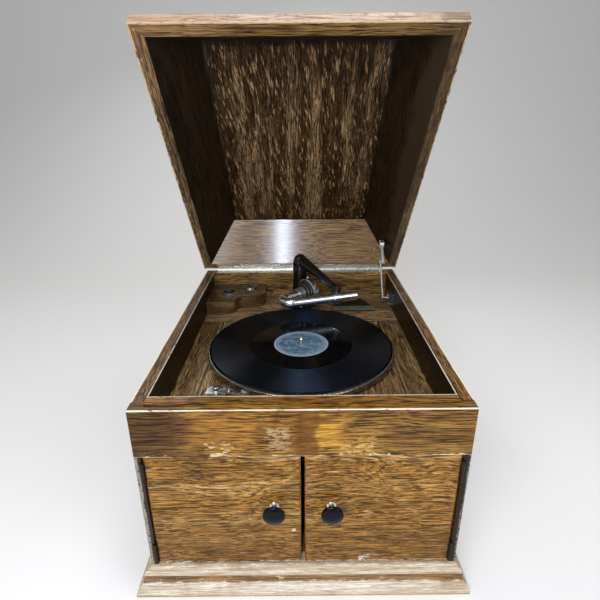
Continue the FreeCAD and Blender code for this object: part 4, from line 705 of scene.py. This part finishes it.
def backdrop():
    """Pale paper that sweeps up behind the machine in one bend."""
    half, front, back, top, bend = 6, -4, 2.4, 5, 1.4
    shape = bmesh.new()
    corners = [shape.verts.new(corner) for corner in ((-half, front, 0), (-half, back, 0), (-half, back, top))]
    lines = [shape.edges.new(pair) for pair in zip(corners, corners[1:])]
    swept = bmesh.ops.extrude_edge_only(shape, edges=lines)
    bmesh.ops.translate(shape, verts=grown_verts(swept), vec=(2 * half, 0, 0))
    fold = [e for e in shape.edges if all(abs(v.co.y - back) < 1e-6 and v.co.z < 1e-6 for v in e.verts)]
    bmesh.ops.bevel(shape, geom=fold, offset=bend, segments=16, profile=0.5, affect="EDGES", material=-1)
    bmesh.ops.recalc_face_normals(shape, faces=shape.faces)
    material, _, shader = new_material("sweep_paper")
    shader.inputs["Base Color"].default_value = paint("#efedea")
    shader.inputs["Roughness"].default_value = 0.85
    sweep = place_mesh("sweep", shape, material)
    sweep.data.shade_smooth()


def lamps():
    """Soft light from above, behind and both sides, and a cool narrow strip that gleams on the lid and the record."""
    world = bpy.data.worlds.new("studio")
    bpy.context.scene.world = world
    world.use_nodes = True
    world.node_tree.nodes["Background"].inputs["Color"].default_value = paint("#e4e6ea")
    world.node_tree.nodes["Background"].inputs["Strength"].default_value = 0.34
    for name, place, aim, energy, wide, tall, tint in (
        ("key", (-0.8, -1.6, 1.3), (0, -0.2, 0.2), 13, 0.8, 0.8, "#ffffff"),
        ("fill", (1.4, -1.3, 1.0), (0, 0, 0.2), 8, 1.0, 1.0, "#ffffff"),
        ("top", (0.1, -0.2, 1.9), (0, 0, 0.25), 13, 0.8, 0.8, "#ffffff"),
        ("back", (-0.6, 1.5, 1.8), (0, 0.2, 0.4), 8, 0.9, 0.9, "#ffffff"),
        ("strip", (-0.085, -1.05, 0.82), (0, 0.28, 0.33), 7, 0.026, 0.66, "#dfeaff"),
    ):
        lamp = bpy.data.lights.new(name, "AREA")
        lamp.shape = "RECTANGLE"
        lamp.energy = energy
        lamp.color = paint(tint)[:3]
        lamp.size = wide
        lamp.size_y = tall
        holder = bpy.data.objects.new(name, lamp)
        bpy.context.scene.collection.objects.link(holder)
        holder.location = place
        holder.rotation_euler = (Vector(aim) - Vector(place)).to_track_quat("-Z", "Y").to_euler()


def photo_camera():
    """The camera where the photo was taken, with its focal length in pixels of a 600 pixel frame."""
    focal, frame_width = 462.3, 600
    yaw, pitch, roll = (math.radians(angle) for angle in (-0.14, -21.70, -0.4))
    camera = bpy.data.cameras.new("photo_view")
    camera.sensor_width = 36
    camera.lens = focal / frame_width * camera.sensor_width
    camera.clip_start = 0.01
    viewer = bpy.data.objects.new("photo_view", camera)
    bpy.context.scene.collection.objects.link(viewer)
    turned = (Matrix.Rotation(yaw, 4, "Z") @ Matrix.Rotation(math.pi / 2 + pitch, 4, "X")
              @ Matrix.Rotation(roll, 4, "Z"))
    viewer.matrix_world = Matrix.Translation(Vector((-3.0, -706.3, 595.1)) * MM) @ turned
    bpy.context.scene.camera = viewer
    bpy.context.scene.view_settings.view_transform = "Standard"


backdrop()
lamps()
photo_camera()
